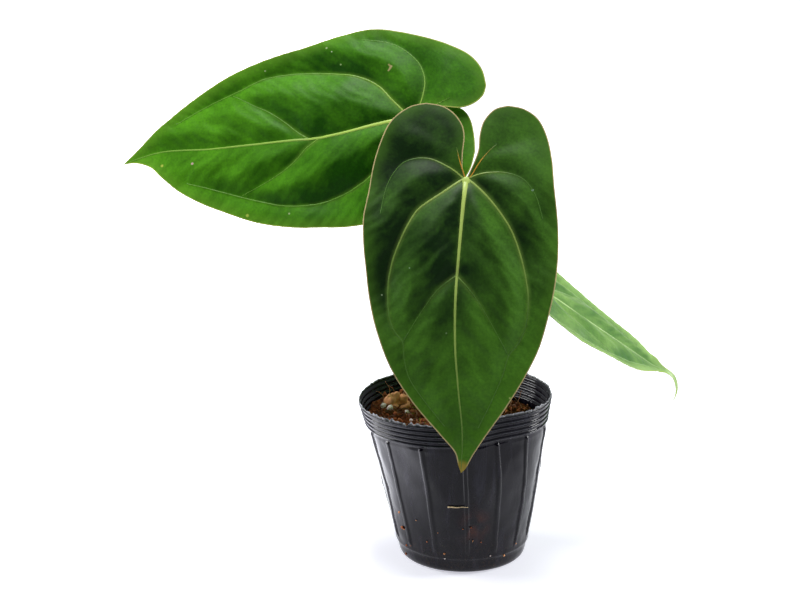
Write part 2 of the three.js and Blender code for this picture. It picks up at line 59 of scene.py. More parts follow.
BASE_RADIUS = 34.6
BASE_THICKNESS = 1.4
DRAIN_HOLES = 5
DRAIN_RADIUS = 4
DRAIN_CIRCLE = 21


def smooth(start, end, value):
    """From 0 at start to 1 at end, with soft ends."""
    share = np.clip((value - start) / (end - start), 0, 1)
    return share * share * (3 - 2 * share)


def waves(places, size, seed, count=16):
    """A smooth random height of about -1 to 1 at each place, with bumps about size mm across."""
    draw = np.random.default_rng(seed)
    total = np.zeros(places.shape[:-1])
    for _ in range(count):
        way = draw.normal(size=places.shape[-1])
        way *= draw.uniform(2.2, 4.4) / (size * np.linalg.norm(way))
        total += np.sin(places @ way + draw.uniform(0, 6.28))
    return total / math.sqrt(count)


def lean(places):
    """The bend of the film: the rim has moved left, its right side stands higher, and its front is dented."""
    x, y, z = np.moveaxis(np.asarray(places, float), -1, 0)
    share = np.maximum(0, z) / POT_HEIGHT
    angle = np.degrees(np.arctan2(x, -y))
    dent = 7.5 * smooth(0.5, 1, share) * np.exp(-(((angle - 28) / 21) ** 2))
    x = x * (1 - dent / RIM_RADIUS)
    y = y * (1 - dent / RIM_RADIUS)
    return np.stack([x - 5.3 * share**1.5, y, z + 0.042 * share**1.5 * x], -1)


def around(radius, turn, z):
    """The place at a radius and a height, turn radians from the front towards the right."""
    return np.stack(np.broadcast_arrays(radius * np.sin(turn), -radius * np.cos(turn), z), -1)


def wall_radius(z):
    """Radius of the plain wall between the foot and the band."""
    return 41.6 + 0.192 * (z - 13.5)


def linear(code):
    """An sRGB hex colour as linear red, green, blue and alpha."""
    parts = [int(code[i:i + 2], 16) / 255 for i in (1, 3, 5)]
    return (*[c / 12.92 if c <= 0.04045 else ((c + 0.055) / 1.055) ** 2.4 for c in parts], 1)


def fill_sockets(node, sockets):
    """Fills a node's sockets, each with a value, a hex colour, another node or an output of one."""
    for name, value in sockets.items():
        if isinstance(value, bpy.types.Node):
            mixes_colours = value.bl_idname == "ShaderNodeMix" and value.data_type == "RGBA"
            value = value.outputs[2 if mixes_colours else 0]
        if isinstance(value, bpy.types.NodeSocket):
            node.id_data.links.new(value, node.inputs[name])
        else:
            node.inputs[name].default_value = linear(value) if isinstance(value, str) else value


def node_adder(tree):
    """Gives the function that adds one node to this tree."""

    def add(kind, sockets=None, **settings):
        node = tree.nodes.new("ShaderNode" + kind)
        for name, value in settings.items():
            setattr(node, name, value)
        fill_sockets(node, sockets or {})
        return node

    return add


def start_material(name, **values):
    """A material, the function that adds its nodes, and its Principled shader with these values set."""
    material = bpy.data.materials.new(name)
    material.use_nodes = True
    shader = material.node_tree.nodes["Principled BSDF"]
    fill_sockets(shader, {socket.replace("_", " "): value for socket, value in values.items()})
    return material, node_adder(material.node_tree), shader


def ring_faces(rows, columns, wrap_rows=False):
    """Four-cornered faces of rows of points, each row closed into a ring."""
    faces = []
    for i in range(rows if wrap_rows else rows - 1):
        a, b = i * columns, (i + 1) % rows * columns
        faces.extend((a + j, a + (j + 1) % columns, b + (j + 1) % columns, b + j) for j in range(columns))
    return faces


def make_piece(name, shape, material, replaced):
    """Makes a piece of the plant. shape holds a closed mesh's points in millimetres and its faces, and then
    its fields where the material reads any, with a number or a vector for each point."""
    points, faces, *extra = shape
    mesh = bpy.data.meshes.new(name)
    mesh.from_pydata((np.asarray(points) * MM).tolist(), [], [tuple(map(int, face)) for face in faces])
    form = bmesh.new()
    form.from_mesh(mesh)
    bmesh.ops.recalc_face_normals(form, faces=form.faces)
    form.to_mesh(mesh)
    form.free()
    for field, values in (extra[0] if extra else {}).items():
        values = np.asarray(values, np.float32)
        kind, key = ("FLOAT", "value") if values.ndim == 1 else ("FLOAT_VECTOR", "vector")
        mesh.attributes.new(field, kind, "POINT").data.foreach_set(key, values.ravel())
    mesh.shade_smooth()
    mesh.materials.append(material)
    made = bpy.data.objects.new(name, mesh)
    bpy.context.scene.collection.objects.link(made)
    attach(made, "root")
    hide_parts(replaced)
    return made


# Vacuum-formed black polythene: glossy where the mould was smooth, with soft wrinkles that blur what it
# mirrors, pale bluish upright streaks painted on as reflections of the room, painted grey highlights on the
# crests of the rim rings, a brown stain and a film of brown dust low down. Its IOR is lower than polythene's
# 1.5, because the wrinkled film mirrors less.
pot_film, add, shader = start_material("vacuum_formed_black_polythene", IOR=1.31)
place = add("TexCoord").outputs["Object"]
blotches = add("TexNoise", {"Vector": place, "Scale": 1 / (14 * MM), "Detail": 5, "Roughness": 0.6})
tall = add("Mapping", {"Vector": place, "Scale": (1, 1, 0.12)})
streaks = add("TexNoise", {"Vector": tall, "Scale": 1 / (2.2 * MM), "Detail": 3})
# Painted reflection: pale bluish upright streaks stand in for the room mirrored in the film.
streaky_shine = add("TexNoise", {
    "Vector": tall, "Scale": 1 / (9 * MM), "Detail": 7, "Roughness": 0.65, "Distortion": 0.4})
height = add("SeparateXYZ", {0: place})
low = add("MapRange", {0: height.outputs[2], 1: 0.03, 2: 0.0, 4: 0.6})
crumbs = add("TexNoise", {"Vector": place, "Scale": 1 / (1.6 * MM), "Detail": 6, "Roughness": 0.7})
dusty = add("MapRange", {0: crumbs, 1: 0.52, 2: 0.8})
dust = add("Math", {0: dusty, 1: low}, operation="MULTIPLY")
film_black = add("Mix", {0: blotches, 6: "#07060b", 7: "#110f18"}, data_type="RGBA")
painted_shine = add("MapRange", {0: streaky_shine, 1: 0.5, 2: 0.7, 4: 0.3}, interpolation_type="SMOOTHSTEP")
with_painted_shine = add("Mix", {0: painted_shine, 6: film_black, 7: "#3c3b48"}, data_type="RGBA")
# Painted highlight: a grey line on the crest of each rim ring, in patches.
ridge = add("Attribute", attribute_name="ridge")
ring_highlight = add("Math", {0: ridge.outputs["Fac"], 1: blotches}, operation="MULTIPLY")
with_ring_highlight = add("Mix", {0: ring_highlight, 6: with_painted_shine, 7: "#5d5e64"}, data_type="RGBA")
stain = add("Attribute", attribute_name="stain")
stained = add("Mix", {0: stain.outputs["Fac"], 6: with_ring_highlight, 7: "#4a2216"}, data_type="RGBA")
dusted = add("Mix", {0: dust, 6: stained, 7: "#55402f"}, data_type="RGBA")
shine = add("MapRange", {0: blotches, 1: 0.3, 2: 0.75, 3: 0.07, 4: 0.18})
duller = add("Math", {0: dust, 1: 0.3, 2: shine}, operation="MULTIPLY_ADD")
halfway = add("Mapping", {"Vector": place, "Scale": (1, 1, 0.45)})
crinkles = add("TexNoise", {"Vector": halfway, "Scale": 1 / (6 * MM), "Detail": 4, "Distortion": 0.8})
crinkled = add("Bump", {"Strength": 0.6, "Distance": 0.36 * MM, "Height": crinkles})
grained = add("Bump", {"Strength": 0.12, "Distance": 0.06 * MM, "Height": streaks, "Normal": crinkled})
fill_sockets(shader, {"Base Color": dusted, "Roughness": duller, "Normal": grained})

rib_steps = np.array([-2.3, -1.75, -1.4, -1.05, -0.6, 0, 0.6, 1.05, 1.4, 1.75, 2.3])
pot_angles = []
for rib, following in zip(RIB_ANGLES, RIB_ANGLES[1:] + [RIB_ANGLES[0] + 360]):
    pot_angles.extend(rib + rib_steps)
    pot_angles.extend(np.linspace(rib + 2.3, following - 2.3, 20)[1:-1])
pot_angles = np.array(pot_angles)

foot_z = [z for _, z in FOOT]
wall_z = np.concatenate([np.linspace(14, 20, 6), np.linspace(23, 78, 20), np.linspace(80, 84.2, 7)])
band_z = np.linspace(BAND_Z - 1, POT_HEIGHT - 1.4, 60)


def film_radius(z):
    """Radius of the film's outer face at a height."""
    ring = (z - BAND_Z) / RING_PITCH % 1 - 0.5
    bead = np.exp(-((ring * RING_PITCH / 0.62) ** 2)) * ((z > BAND_Z) & (z < POT_HEIGHT - 0.6))
    band = BAND_RADIUS + BAND_TAPER * (z - BAND_Z) + RING_DEPTH * (bead - 0.5)
    low_part = np.interp(z, foot_z, [r for r, _ in FOOT])
    plain = np.where(z < 12.2, low_part, wall_radius(z))
    return np.where(z > BAND_Z - 1.2, np.maximum(band, 55.1), plain)


outer_z = np.concatenate([foot_z, wall_z, band_z])
inner_z = np.concatenate([band_z[::-1][2:] - 0.1, np.linspace(84, 14, 8), [8.6, 4.6, 2.2, 0.3]])
level_z = np.concatenate([outer_z, inner_z])
outside = np.arange(len(level_z)) < len(outer_z)
level_radius = film_radius(level_z) - np.where(outside, 0, FILM)
level_radius[-1] = FOOT_INSIDE
turn = np.radians(pot_angles)[None, :]
z_grid = np.repeat(level_z[:, None], len(pot_angles), 1)
to_rib = np.abs((pot_angles[:, None] - np.array(RIB_ANGLES) + 180) % 360 - 180).min(1)
rib_mm = np.radians(to_rib)[None, :] * level_radius[:, None]
rib = smooth(1.7, 0.75, rib_mm) * smooth(12.5, 16.5, z_grid) * smooth(86, 84.4, z_grid)
radius = level_radius[:, None] + RIB_HEIGHT * rib
flat_places = around(radius, turn, z_grid)
on_wall = smooth(6, 24, z_grid) * smooth(90, 78, z_grid)
radius = radius + on_wall * 0.5 * waves(flat_places * [1, 1, 0.35], 15, 3)
radius = radius + (0.05 + 0.1 * on_wall) * waves(flat_places, 6, 4)
pot_places = lean(around(radius, turn, z_grid))
ring_phase = (z_grid - BAND_Z) / RING_PITCH % 1 - 0.5
on_ring = np.exp(-((ring_phase * RING_PITCH / 0.4) ** 2)) * (z_grid > BAND_Z)
stain_spot = (np.degrees(turn) - 9) / 9, (z_grid - 33) / 9
stained_part = np.exp(-(stain_spot[0] ** 2) - stain_spot[1] ** 2) * smooth(-0.6, 0.7,
                                                                           waves(flat_places, 5, 8))
wall_faces = ring_faces(len(level_z), len(pot_angles), True)
wall_fields = {"ridge": 0.7 * on_ring.ravel(), "stain": 0.7 * stained_part.ravel()}
make_piece("pot_wall", (pot_places.reshape(-1, 3), wall_faces, wall_fields), pot_film, "pot")

base_disc = bmesh.new()
bmesh.ops.create_cone(base_disc, cap_ends=True, segments=96, radius1=BASE_RADIUS * MM,
                      radius2=BASE_RADIUS * MM, depth=BASE_THICKNESS * MM)
base_mesh = bpy.data.meshes.new("pot_base")
base_disc.to_mesh(base_mesh)
base_disc.free()
base_mesh.transform(Matrix.Translation((0, 0, BASE_THICKNESS / 2 * MM)))
base = bpy.data.objects.new("pot_base", base_mesh)
bpy.context.scene.collection.objects.link(base)
drills = bmesh.new()
for i in range(DRAIN_HOLES):
    spot = around(DRAIN_CIRCLE * MM, math.radians(36 + 360 / DRAIN_HOLES * i), 0)
    bmesh.ops.create_cone(drills, cap_ends=True, segments=32, radius1=DRAIN_RADIUS * MM,
                          radius2=DRAIN_RADIUS * MM, depth=6 * MM, matrix=Matrix.Translation(spot))
drill_mesh = bpy.data.meshes.new("drills")
drills.to_mesh(drill_mesh)
drills.free()
drill = bpy.data.objects.new("drills", drill_mesh)
bpy.context.scene.collection.objects.link(drill)
cut = base.modifiers.new("drained", "BOOLEAN")
cut.object = drill
cut.solver = "EXACT"
bpy.context.view_layer.update()
base.data = bpy.data.meshes.new_from_object(base.evaluated_get(bpy.context.evaluated_depsgraph_get()))
base.modifiers.clear()
bpy.data.objects.remove(drill)
base.data.materials.append(pot_film)
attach(base, "root")
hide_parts("pot")

# Frayed upper edge. The film was cut through by hand above the top ring, so it ends in small torn teeth
# that have gone pale where they were stretched, most of all at the front left.
EDGE_POINTS = 1500
EDGE_TEETH = 260
torn_film, add, shader = start_material("torn_black_polythene", IOR=1.5, Roughness=0.45)
torn = add("Attribute", attribute_name="torn")
place = add("TexCoord").outputs["Object"]
nicks = add("TexNoise", {"Vector": place, "Scale": 1 / (1.5 * MM), "Detail": 4})
paler = add("Math", {0: torn.outputs["Fac"], 1: nicks}, operation="MULTIPLY")
stretched = add("MapRange", {0: paler, 1: 0.15, 2: 0.6})
grey = add("Mix", {0: stretched, 6: "#18181c", 7: "#9b9da3"}, data_type="RGBA")
bitten = add("Bump", {"Strength": 0.5, "Distance": 0.15 * MM, "Height": nicks})
fill_sockets(shader, {"Base Color": grey, "Normal": bitten})

draw = np.random.default_rng(41)
edge_angles = np.linspace(-180, 180, EDGE_POINTS, endpoint=False)
teeth_at = np.cumsum(draw.uniform(0.5, 3.2, EDGE_TEETH))
teeth_at = -180 + 360 * teeth_at / teeth_at[-1]
teeth = np.interp(edge_angles, teeth_at, draw.uniform(-1, 1, EDGE_TEETH) ** 3)
rough_part = (0.25 + 0.75 * np.exp(-(((edge_angles + 42) / 34) ** 2))
              + 0.3 * np.exp(-(((edge_angles - 70) / 30) ** 2)))
edge_turn = np.radians(edge_angles)
circle = np.stack([RIM_RADIUS * np.sin(edge_turn), RIM_RADIUS * np.cos(edge_turn)], -1)
jag = rough_part * (1.5 * teeth + 0.35 * waves(circle, 1.6, 17)) + 0.25 * waves(circle, 14, 12)
flutter = rough_part * (0.45 * waves(circle, 3, 13) + 0.3 * waves(circle, 1.3, 14))
levels = [(100.2, -0.12), (100.8, -0.1), (101.3, -0.08), (101.7, -0.06), (101.95, -0.12), (102, -0.25),
          (101.95, -0.38), (101.6, -0.44), (101.2, -0.46), (100.7, -0.48), (100.2, -0.48)]
edge_rows = []
for z, inset in levels:
    lift = smooth(100.4, 102, z)
    row_radius = film_radius(np.array(z)) + inset + lift * (flutter + 0.25)
    edge_rows.append(around(row_radius, edge_turn, z + lift * jag))
edge_places = lean(np.array(edge_rows))
edge_faces = ring_faces(len(levels), EDGE_POINTS, True)
edge_fields = {"torn": np.repeat([smooth(100.6, 102, z) for z, _ in levels], EDGE_POINTS)}
edge_form = (edge_places.reshape(-1, 3), edge_faces, edge_fields)
make_piece("pot_torn_edge", edge_form, torn_film, "pot")

# Crumbs of soil, pale grit and one straw cling to the outside of the film, where wet mix was spilt and has
# dried. Each crumb is listed as degrees from the front, height and half size in millimetres.
CRUMBS = [(-55.9, 35.4, 0.9), (-56.1, 24.9, 1.3), (-54.6, 24.2, 0.7), (-56, 12.5, 0.8), (-62.8, 4.5, 0.8),
          (-16.2, 13.9, 0.7), (36.8, 9.8, 1.0), (-30.9, 20.4, 0.5), (-0.2, 31.9, 0.5), (6, 32.7, 0.5),
          (7.3, 23.3, 0.5), (-50, 13.5, 0.5), (-20, 28, 0.4), (14, 22, 0.4), (50, 15, 0.6), (-38, 34, 0.4),
          (120, 20, 0.8), (150, 30, 0.6), (175, 14, 0.9), (205, 26, 0.7), (230, 11, 0.6)]
GRIT = [(22.7, 11.6, 0.5), (-16.2, 10.4, 0.45), (-25, 45.5, 0.35), (160, 50, 0.4)]


def ball_form(subdivisions):
    """Points and faces of a ball of radius 1."""
    form = bmesh.new()
    bmesh.ops.create_icosphere(form, subdivisions=subdivisions, radius=1)
    points = np.array([corner.co[:] for corner in form.verts])
    faces = [tuple(corner.index for corner in face.verts) for face in form.faces]
    form.free()
    return points, faces


def random_turn(draw):
    """A random rotation, as a 3 by 3 matrix."""
    matrix, _ = np.linalg.qr(draw.normal(size=(3, 3)))
    return matrix * np.sign(np.linalg.det(matrix))


def gather(parts):
    """Joins (points, faces, fields) parts into one list of each."""
    points, faces, fields, count = [], [], {}, 0
    for some_points, some_faces, some_fields in parts:
        points.append(some_points)
        faces.extend(tuple(corner + count for corner in face) for face in some_faces)
        for name, value in some_fields.items():
            fields.setdefault(name, []).append(np.broadcast_to(value, len(some_points)))
        count += len(some_points)
    return np.concatenate(points), faces, {name: np.concatenate(values) for name, values in fields.items()}


def lumps(spots, draw, detail, roughness, tint=(0, 1)):
    """Rough lumps, each at a place with three half sizes."""
    ball, faces = ball_form(detail)
    parts = []
    for spot, sizes in spots:
        own = ball * (1 + roughness * waves(ball * 2, 1, int(draw.integers(1e6)))[:, None])
        own = own * (1 + 0.3 * roughness * waves(ball * 2, 0.35, int(draw.integers(1e6)))[:, None])
        parts.append((own * sizes @ random_turn(draw) + spot, faces, {"tint": draw.uniform(*tint)}))
    return gather(parts)


def crumb_spots(listed):
    """Places on the wall's outer face with their sizes."""
    spots = []
    for degrees, z, size in listed:
        place = lean(around(film_radius(np.array(z)) + 0.2 * size, math.radians(degrees), z))
        spots.append((place, (size, size * 0.8, size * 0.6)))
    return spots


# Moist coir crumb: matt, reddish brown to orange brown, open-grained.
coir_crumb, add, shader = start_material(
    "shredded_coir_crumb", IOR=1.4, Roughness=0.85, Specular_IOR_Level=0.3)
tint = add("Attribute", attribute_name="tint")
place = add("TexCoord").outputs["Object"]
mottle = add("TexNoise", {"Vector": place, "Scale": 1 / (2.5 * MM), "Detail": 6, "Roughness": 0.7})
browns = add("ValToRGB", {0: tint.outputs["Fac"]})
browns.color_ramp.elements[0].color = linear("#5a2c18")
browns.color_ramp.elements[1].color = linear("#ecaa78")
middle = browns.color_ramp.elements.new(0.55)
middle.color = linear("#a45a32")
shaded = add("Mix", {0: 0.7, 6: browns, 7: mottle}, data_type="RGBA", blend_type="MULTIPLY")
lit = add("Mix", {0: 0.25, 6: shaded, 7: browns}, data_type="RGBA", blend_type="ADD")
pores = add("Bump", {"Strength": 0.8, "Distance": 0.5 * MM, "Height": mottle})
fill_sockets(shader, {"Base Color": lit, "Normal": pores})


def two_tones(name, low, high, grain, detail, dents, pattern="TexNoise", stretch=None, **values):
    """A material whose colour goes from low to high with grains of a size in millimetres. The grains also
    dent it, by a strength and a depth. stretch scales their places, so less than 1 makes them longer."""
    material, add, shader = start_material(name, **values)
    place = add("TexCoord").outputs["Object"]
    if stretch:
        place = add("Mapping", {"Vector": place, "Scale": stretch})
    grains = add(pattern, {"Vector": place, "Scale": 1 / (grain * MM), "Detail": detail})
    tones = add("Mix", {0: grains, 6: low, 7: high}, data_type="RGBA")
    dented = add("Bump", {"Strength": dents[0], "Distance": dents[1] * MM, "Height": grains})
    fill_sockets(shader, {"Base Color": tones, "Normal": dented})
    return material


# Expanded perlite: white, chalky, full of tiny pits.
perlite = two_tones(
    "expanded_perlite", "#f2dcd6", "#fff2ee", 0.8, 0, (0.7, 0.2), "TexVoronoi", IOR=1.45, Roughness=0.9)

draw = np.random.default_rng(5)
pot_crumbs = lumps(crumb_spots(CRUMBS), draw, 2, 0.25, (0.35, 1))
make_piece("crumbs_on_pot", pot_crumbs, coir_crumb, "pot")
make_piece("grit_on_pot", lumps(crumb_spots(GRIT), draw, 2, 0.2)[:2], perlite, "pot")


def rod(path, half_width, rise=None, drop=None, up=None, sides=10):
    """A closed rod along a path: half_width across it, rise above it and drop below it, with rounded ends."""
    path = np.asarray(path, float)
    count = len(path)
    forward = np.gradient(path, axis=0)
    forward /= np.linalg.norm(forward, axis=1)[:, None]
    if up is None:
        up = np.zeros_like(path)
        last = np.array([0.3, -1, 0.1])
        for i in range(count):
            last = last - forward[i] * (last @ forward[i])
            last /= np.linalg.norm(last)
            up[i] = last
    side = np.cross(forward, up)
    side /= np.linalg.norm(side, axis=1)[:, None]
    up = np.cross(side, forward)
    half_width = np.broadcast_to(half_width, count)
    rise = half_width if rise is None else np.broadcast_to(rise, count)
    drop = half_width if drop is None else np.broadcast_to(drop, count)
    turn = np.linspace(0, 2 * np.pi, sides, endpoint=False)
    height = np.where(np.sin(turn) > 0, rise[:, None], drop[:, None]) * np.sin(turn)
    rings = path[:, None] + side[:, None] * (half_width[:, None] * np.cos(turn))[..., None]
    rings = rings + up[:, None] * height[..., None]
    tips = np.array([path[0] - forward[0] * half_width[0] * 0.5,
                     path[-1] + forward[-1] * half_width[-1] * 0.5])
    points = np.concatenate([rings.reshape(-1, 3), tips])
    faces = ring_faces(count, sides)
    last_row, start, end = (count - 1) * sides, count * sides, count * sides + 1
    faces += [(start, (j + 1) % sides, j) for j in range(sides)]
    faces += [(end, last_row + j, last_row + (j + 1) % sides) for j in range(sides)]
    along = np.concatenate([np.repeat(np.linspace(0, 1, count), sides), [0, 1]])
    return points, faces, along


# Dry straw: pale tan, with a soft shine along its length.
STRAW_Z = 47.3
dry_straw = two_tones("dry_straw", "#b89466", "#fbe8bc", 1.2, 3, (0.4, 0.1), IOR=1.5, Roughness=0.5)
straw_angles = np.radians(np.linspace(-10.2, 4, 12))
straw_path = lean(around(wall_radius(STRAW_Z) + 0.75, straw_angles, STRAW_Z + 0.15 * np.sin(np.arange(12))))
straw_form = rod(straw_path, np.linspace(0.55, 0.2, 12), sides=8)
make_piece("straw_on_pot", straw_form[:2], dry_straw, "pot")

# Potting mix. The real one is shredded coir and bark with some perlite and green algae on it: a crumbly bed
# that stops well below the rim, with one big bark piece and loose fibres at the left.
SOIL_LEVEL = 87.5
SOIL_RADIUS = 53.4
BARK_CRUMB_COUNT = 420
FIBRE_COUNT = 330


def soil_height(x, y):
    """Height of the bed's broad lumps."""
    mound = 1.2 * np.exp(-((x + 36) ** 2 + (y - 4) ** 2) / 500)
    broad = 0.9 * np.sin(x * 0.31 + 1.3) * np.cos(y * 0.27 - 0.6)
    return SOIL_LEVEL - 0.09 * x + mound + broad + 0.5 * np.sin(x * 0.83 - y * 0.55 + 2.1)


def on_soil(x, y, lift=0.0):
    """A place on the bed, moved with the lean of the pot."""
    x, y = np.asarray(x, float), np.asarray(y, float)
    return lean(np.stack([x, y, soil_height(x, y) + lift], -1))


soil_bed, add, shader = start_material("damp_coir_mix", IOR=1.4, Roughness=0.9, Specular_IOR_Level=0.25)
place = add("TexCoord").outputs["Object"]
bits = add("TexVoronoi", {"Vector": place, "Scale": 1 / (2.2 * MM)})
fine = add("TexNoise", {"Vector": place, "Scale": 1 / (1.1 * MM), "Detail": 6, "Roughness": 0.75})
patches = add("TexNoise", {"Vector": place, "Scale": 1 / (11 * MM), "Detail": 3})
bit_brown = add("Mix", {0: bits.outputs["Color"], 6: "#361609", 7: "#944e28"}, data_type="RGBA")
grain_brown = add("Mix", {0: 0.8, 6: bit_brown, 7: fine}, data_type="RGBA", blend_type="OVERLAY")
algae = add("MapRange", {0: patches, 1: 0.55, 2: 0.72, 4: 0.45})
greened = add("Mix", {0: algae, 6: grain_brown, 7: "#4e4a1c"}, data_type="RGBA")
grit_bump = add("Bump", {"Strength": 1.0, "Distance": 0.8 * MM, "Height": fine})
fill_sockets(shader, {"Base Color": greened, "Normal": grit_bump})

SOIL_TURNS = 300
side_rows = [(30, 1.9), (38.5, 6.5), (40, 14.6), (52.6, 80)]
top_radii = SOIL_RADIUS * (1 - np.linspace(0, 1, 84)[:-1] ** 0.8)
soil_turn = np.linspace(0, 2 * np.pi, SOIL_TURNS, endpoint=False)
x, y = top_radii[:, None] * np.sin(soil_turn), -top_radii[:, None] * np.cos(soil_turn)
flat = np.stack([x, y], -1)
crumble = 0.7 * waves(flat, 4.5, 51) + 0.55 * waves(flat, 2.0, 52) + 0.5 * np.abs(waves(flat, 1.1, 53))
crumble *= smooth(0, 4, SOIL_RADIUS - top_radii)[:, None]
top_places = on_soil(x, y, crumble)
side_places = [lean(around(r, soil_turn, z)) for r, z in side_rows]
soil_points = np.concatenate([np.array(side_places).reshape(-1, 3), top_places.reshape(-1, 3),
                              [lean((0, 0, 1.9)), on_soil(0, 0, 0.2)]])
soil_rows = len(side_rows) + len(top_radii)
soil_faces = ring_faces(soil_rows, SOIL_TURNS)
bottom, centre = soil_rows * SOIL_TURNS, soil_rows * SOIL_TURNS + 1
soil_faces += [(bottom, (j + 1) % SOIL_TURNS, j) for j in range(SOIL_TURNS)]
inner_row = (soil_rows - 1) * SOIL_TURNS
soil_faces += [(centre, inner_row + j, inner_row + (j + 1) % SOIL_TURNS) for j in range(SOIL_TURNS)]
make_piece("soil_bed", (soil_points, soil_faces), soil_bed, "soil")

draw = np.random.default_rng(77)
spots = []
for _ in range(BARK_CRUMB_COUNT):
    angle, reach = draw.uniform(0, 2 * np.pi), 52 * math.sqrt(draw.uniform(0.02, 1))
    size = 0.8 + 2.4 * draw.uniform() ** 2.5
    x, y = reach * math.sin(angle), -reach * math.cos(angle)
    spots.append((on_soil(x, y, 0.35 * size), (size, size * draw.uniform(0.5, 0.9),
                                               size * draw.uniform(0.3, 0.6))))
make_piece("bark_crumbs", lumps(spots, draw, 2, 0.3, (0, 0.8)), coir_crumb, "soil")

big_bark = [((-39.5, 11), (6.6, 5.2, 4.6), 2.0), ((-34, 14), (5.4, 4.4, 3.6), 2.2),
            ((-31, 6), (3.8, 3.0, 2.4), 1.0),
            ((-37, 5.5), (2.8, 2.4, 2.0), 0.8)]
spots = [(on_soil(*spot, lift), sizes) for spot, sizes, lift in big_bark]
make_piece("bark_chunk", lumps(spots, draw, 4, 0.2, (0.85, 1)), coir_crumb, "soil")

white_spots = [(-44.3, 6.3, 2.2), (-40.2, 0.6, 2.1), (-30, -1.3, 1.6), (-27.7, -15.4, 1.2), (-45.2, 2.2, 1.0),
               (31, -20, 1.3), (20, 30, 1.6), (-8, 36, 1.4), (14, -30, 1.5), (-20, 30, 1.2), (40, 4, 1.1),
               (-12, -34, 1.2), (6, 22, 1.3), (26, 2, 1.0)]
spots = [(on_soil(x, y, 0.7 * size), (size, size * 0.9, size * 0.8)) for x, y, size in white_spots]
make_piece("perlite_grains", lumps(spots, draw, 3, 0.1)[:2], perlite, "soil")

# Coir fibre: thin, springy, reddish brown, lying every way on the bed.
coir_fibre, add, shader = start_material("coir_fibre", IOR=1.5, Roughness=0.6)
tint = add("Attribute", attribute_name="tint")
place = add("TexCoord").outputs["Object"]
flecks = add("TexNoise", {"Vector": place, "Scale": 1 / (3 * MM), "Detail": 3})
mixed = add("Math", {0: tint.outputs["Fac"], 1: flecks}, operation="MULTIPLY")
fibre_brown = add("Mix", {0: mixed, 6: "#4a2413", 7: "#d08a55"}, data_type="RGBA")
fibre_bump = add("Bump", {"Strength": 0.4, "Distance": 0.1 * MM, "Height": flecks})
fill_sockets(shader, {"Base Color": fibre_brown, "Normal": fibre_bump})

parts = []
for _ in range(FIBRE_COUNT):
    angle, reach = draw.uniform(0, 2 * np.pi), 50 * math.sqrt(draw.uniform(0.03, 1))
    heading, length, bend = draw.uniform(0, 2 * np.pi), draw.uniform(5, 17), draw.uniform(-1.4, 1.4)
    s = np.linspace(0, 1, 9)
    directions = heading + bend * s
    x = reach * math.sin(angle) + np.cumsum(np.cos(directions)) * length / 9
    y = -reach * math.cos(angle) + np.cumsum(np.sin(directions)) * length / 9
    shrink = np.minimum(1, 51.5 / np.maximum(np.hypot(x, y), 1))
    x, y = x * shrink, y * shrink
    lift = 0.7 + draw.uniform(0, 2.6) * np.sin(np.pi * s) * draw.uniform(0.2, 1)
    points, faces, along = rod(on_soil(x, y, lift), np.linspace(0.24, 0.1, 9) * draw.uniform(0.6, 1.3),
                               sides=5)
    parts.append((points, faces, {"tint": draw.uniform(0.1, 1)}))
for x, y, heading, length, rise in [(-41, 30, 1.9, 12, 9), (-38, 33, 2.4, 9, 7), (38, 30, 0.6, 11, 8),
                                    (34, 26, 1.4, 14, 5), (41, 18, 2.2, 12, 6), (-44, 20, 2.7, 10, 6)]:
    s = np.linspace(0, 1, 12)
    path = on_soil(x + length * 0.5 * s * math.cos(heading), y + length * 0.5 * s * math.sin(heading))
    path[:, 2] += rise * np.sin(1.5 * s) + 0.4
    path[:, 0] += 0.8 * np.sin(5 * s)
    points, faces, along = rod(path, np.linspace(0.32, 0.14, 12), sides=6)
    parts.append((points, faces, {"tint": 0.8}))
make_piece("coir_fibres", gather(parts), coir_fibre, "soil")

# Living moss and algae: small yellow-green cushions between the crumbs.
moss = two_tones("living_moss", "#3d3f10", "#a59a35", 0.9, 5, (1.0, 0.5), IOR=1.4, Roughness=0.9)
spots = []
for x, y in [(-26.3, 11.6), (-24, 8), (-28, -3), (-22, -14), (-18, -22), (10, 30), (22, -26), (-6, -30),
             (30, 16)]:
    for _ in range(7):
        dx, dy, size = draw.normal(0, 1.6), draw.normal(0, 1.6), draw.uniform(0.5, 1.1)
        spots.append((on_soil(x + dx, y + dy, 0.6), (size, size, size * 0.6)))
make_piece("moss_cushions", lumps(spots, draw, 2, 0.3)[:2], moss, "soil")

# Crown. The real one is a short stem of packed leaf bases, woody and ringed with scars, wrapped at its foot
# by dry papery bracts, and it sends thick roots down into the mix.
CROWN = np.array([-4, 1, 0])
BRACT_ROWS, BRACT_COLUMNS = 40, 17


def smooth_path(points, count):
    """Evenly spaced places on a smooth curve through the given points."""
    points = np.asarray(points, float)
    points = np.vstack([2 * points[0] - points[1], points, 2 * points[-1] - points[-2]])
    places = []
    for i in range(len(points) - 3):
        p0, p1, p2, p3 = points[i:i + 4]
        d0, d1, d2 = [np.linalg.norm(b - a) ** 0.5 for a, b in ((p0, p1), (p1, p2), (p2, p3))]
        start = ((p1 - p0) / d0 - (p2 - p0) / (d0 + d1) + (p2 - p1) / d1) * d1
        end = ((p2 - p1) / d1 - (p3 - p1) / (d1 + d2) + (p3 - p2) / d2) * d1
        s = np.linspace(0, 1, 60)[:, None]
        places.append((2 * s**3 - 3 * s**2 + 1) * p1 + (s**3 - 2 * s**2 + s) * start
                      + (3 * s**2 - 2 * s**3) * p2 + (s**3 - s**2) * end)
    places = np.concatenate(places)
    steps = np.concatenate([[0], np.cumsum(np.linalg.norm(np.diff(places, axis=0), axis=1))])
    even = np.linspace(0, steps[-1], count)
    return np.stack([np.interp(even, steps, places[:, k]) for k in range(3)], -1)


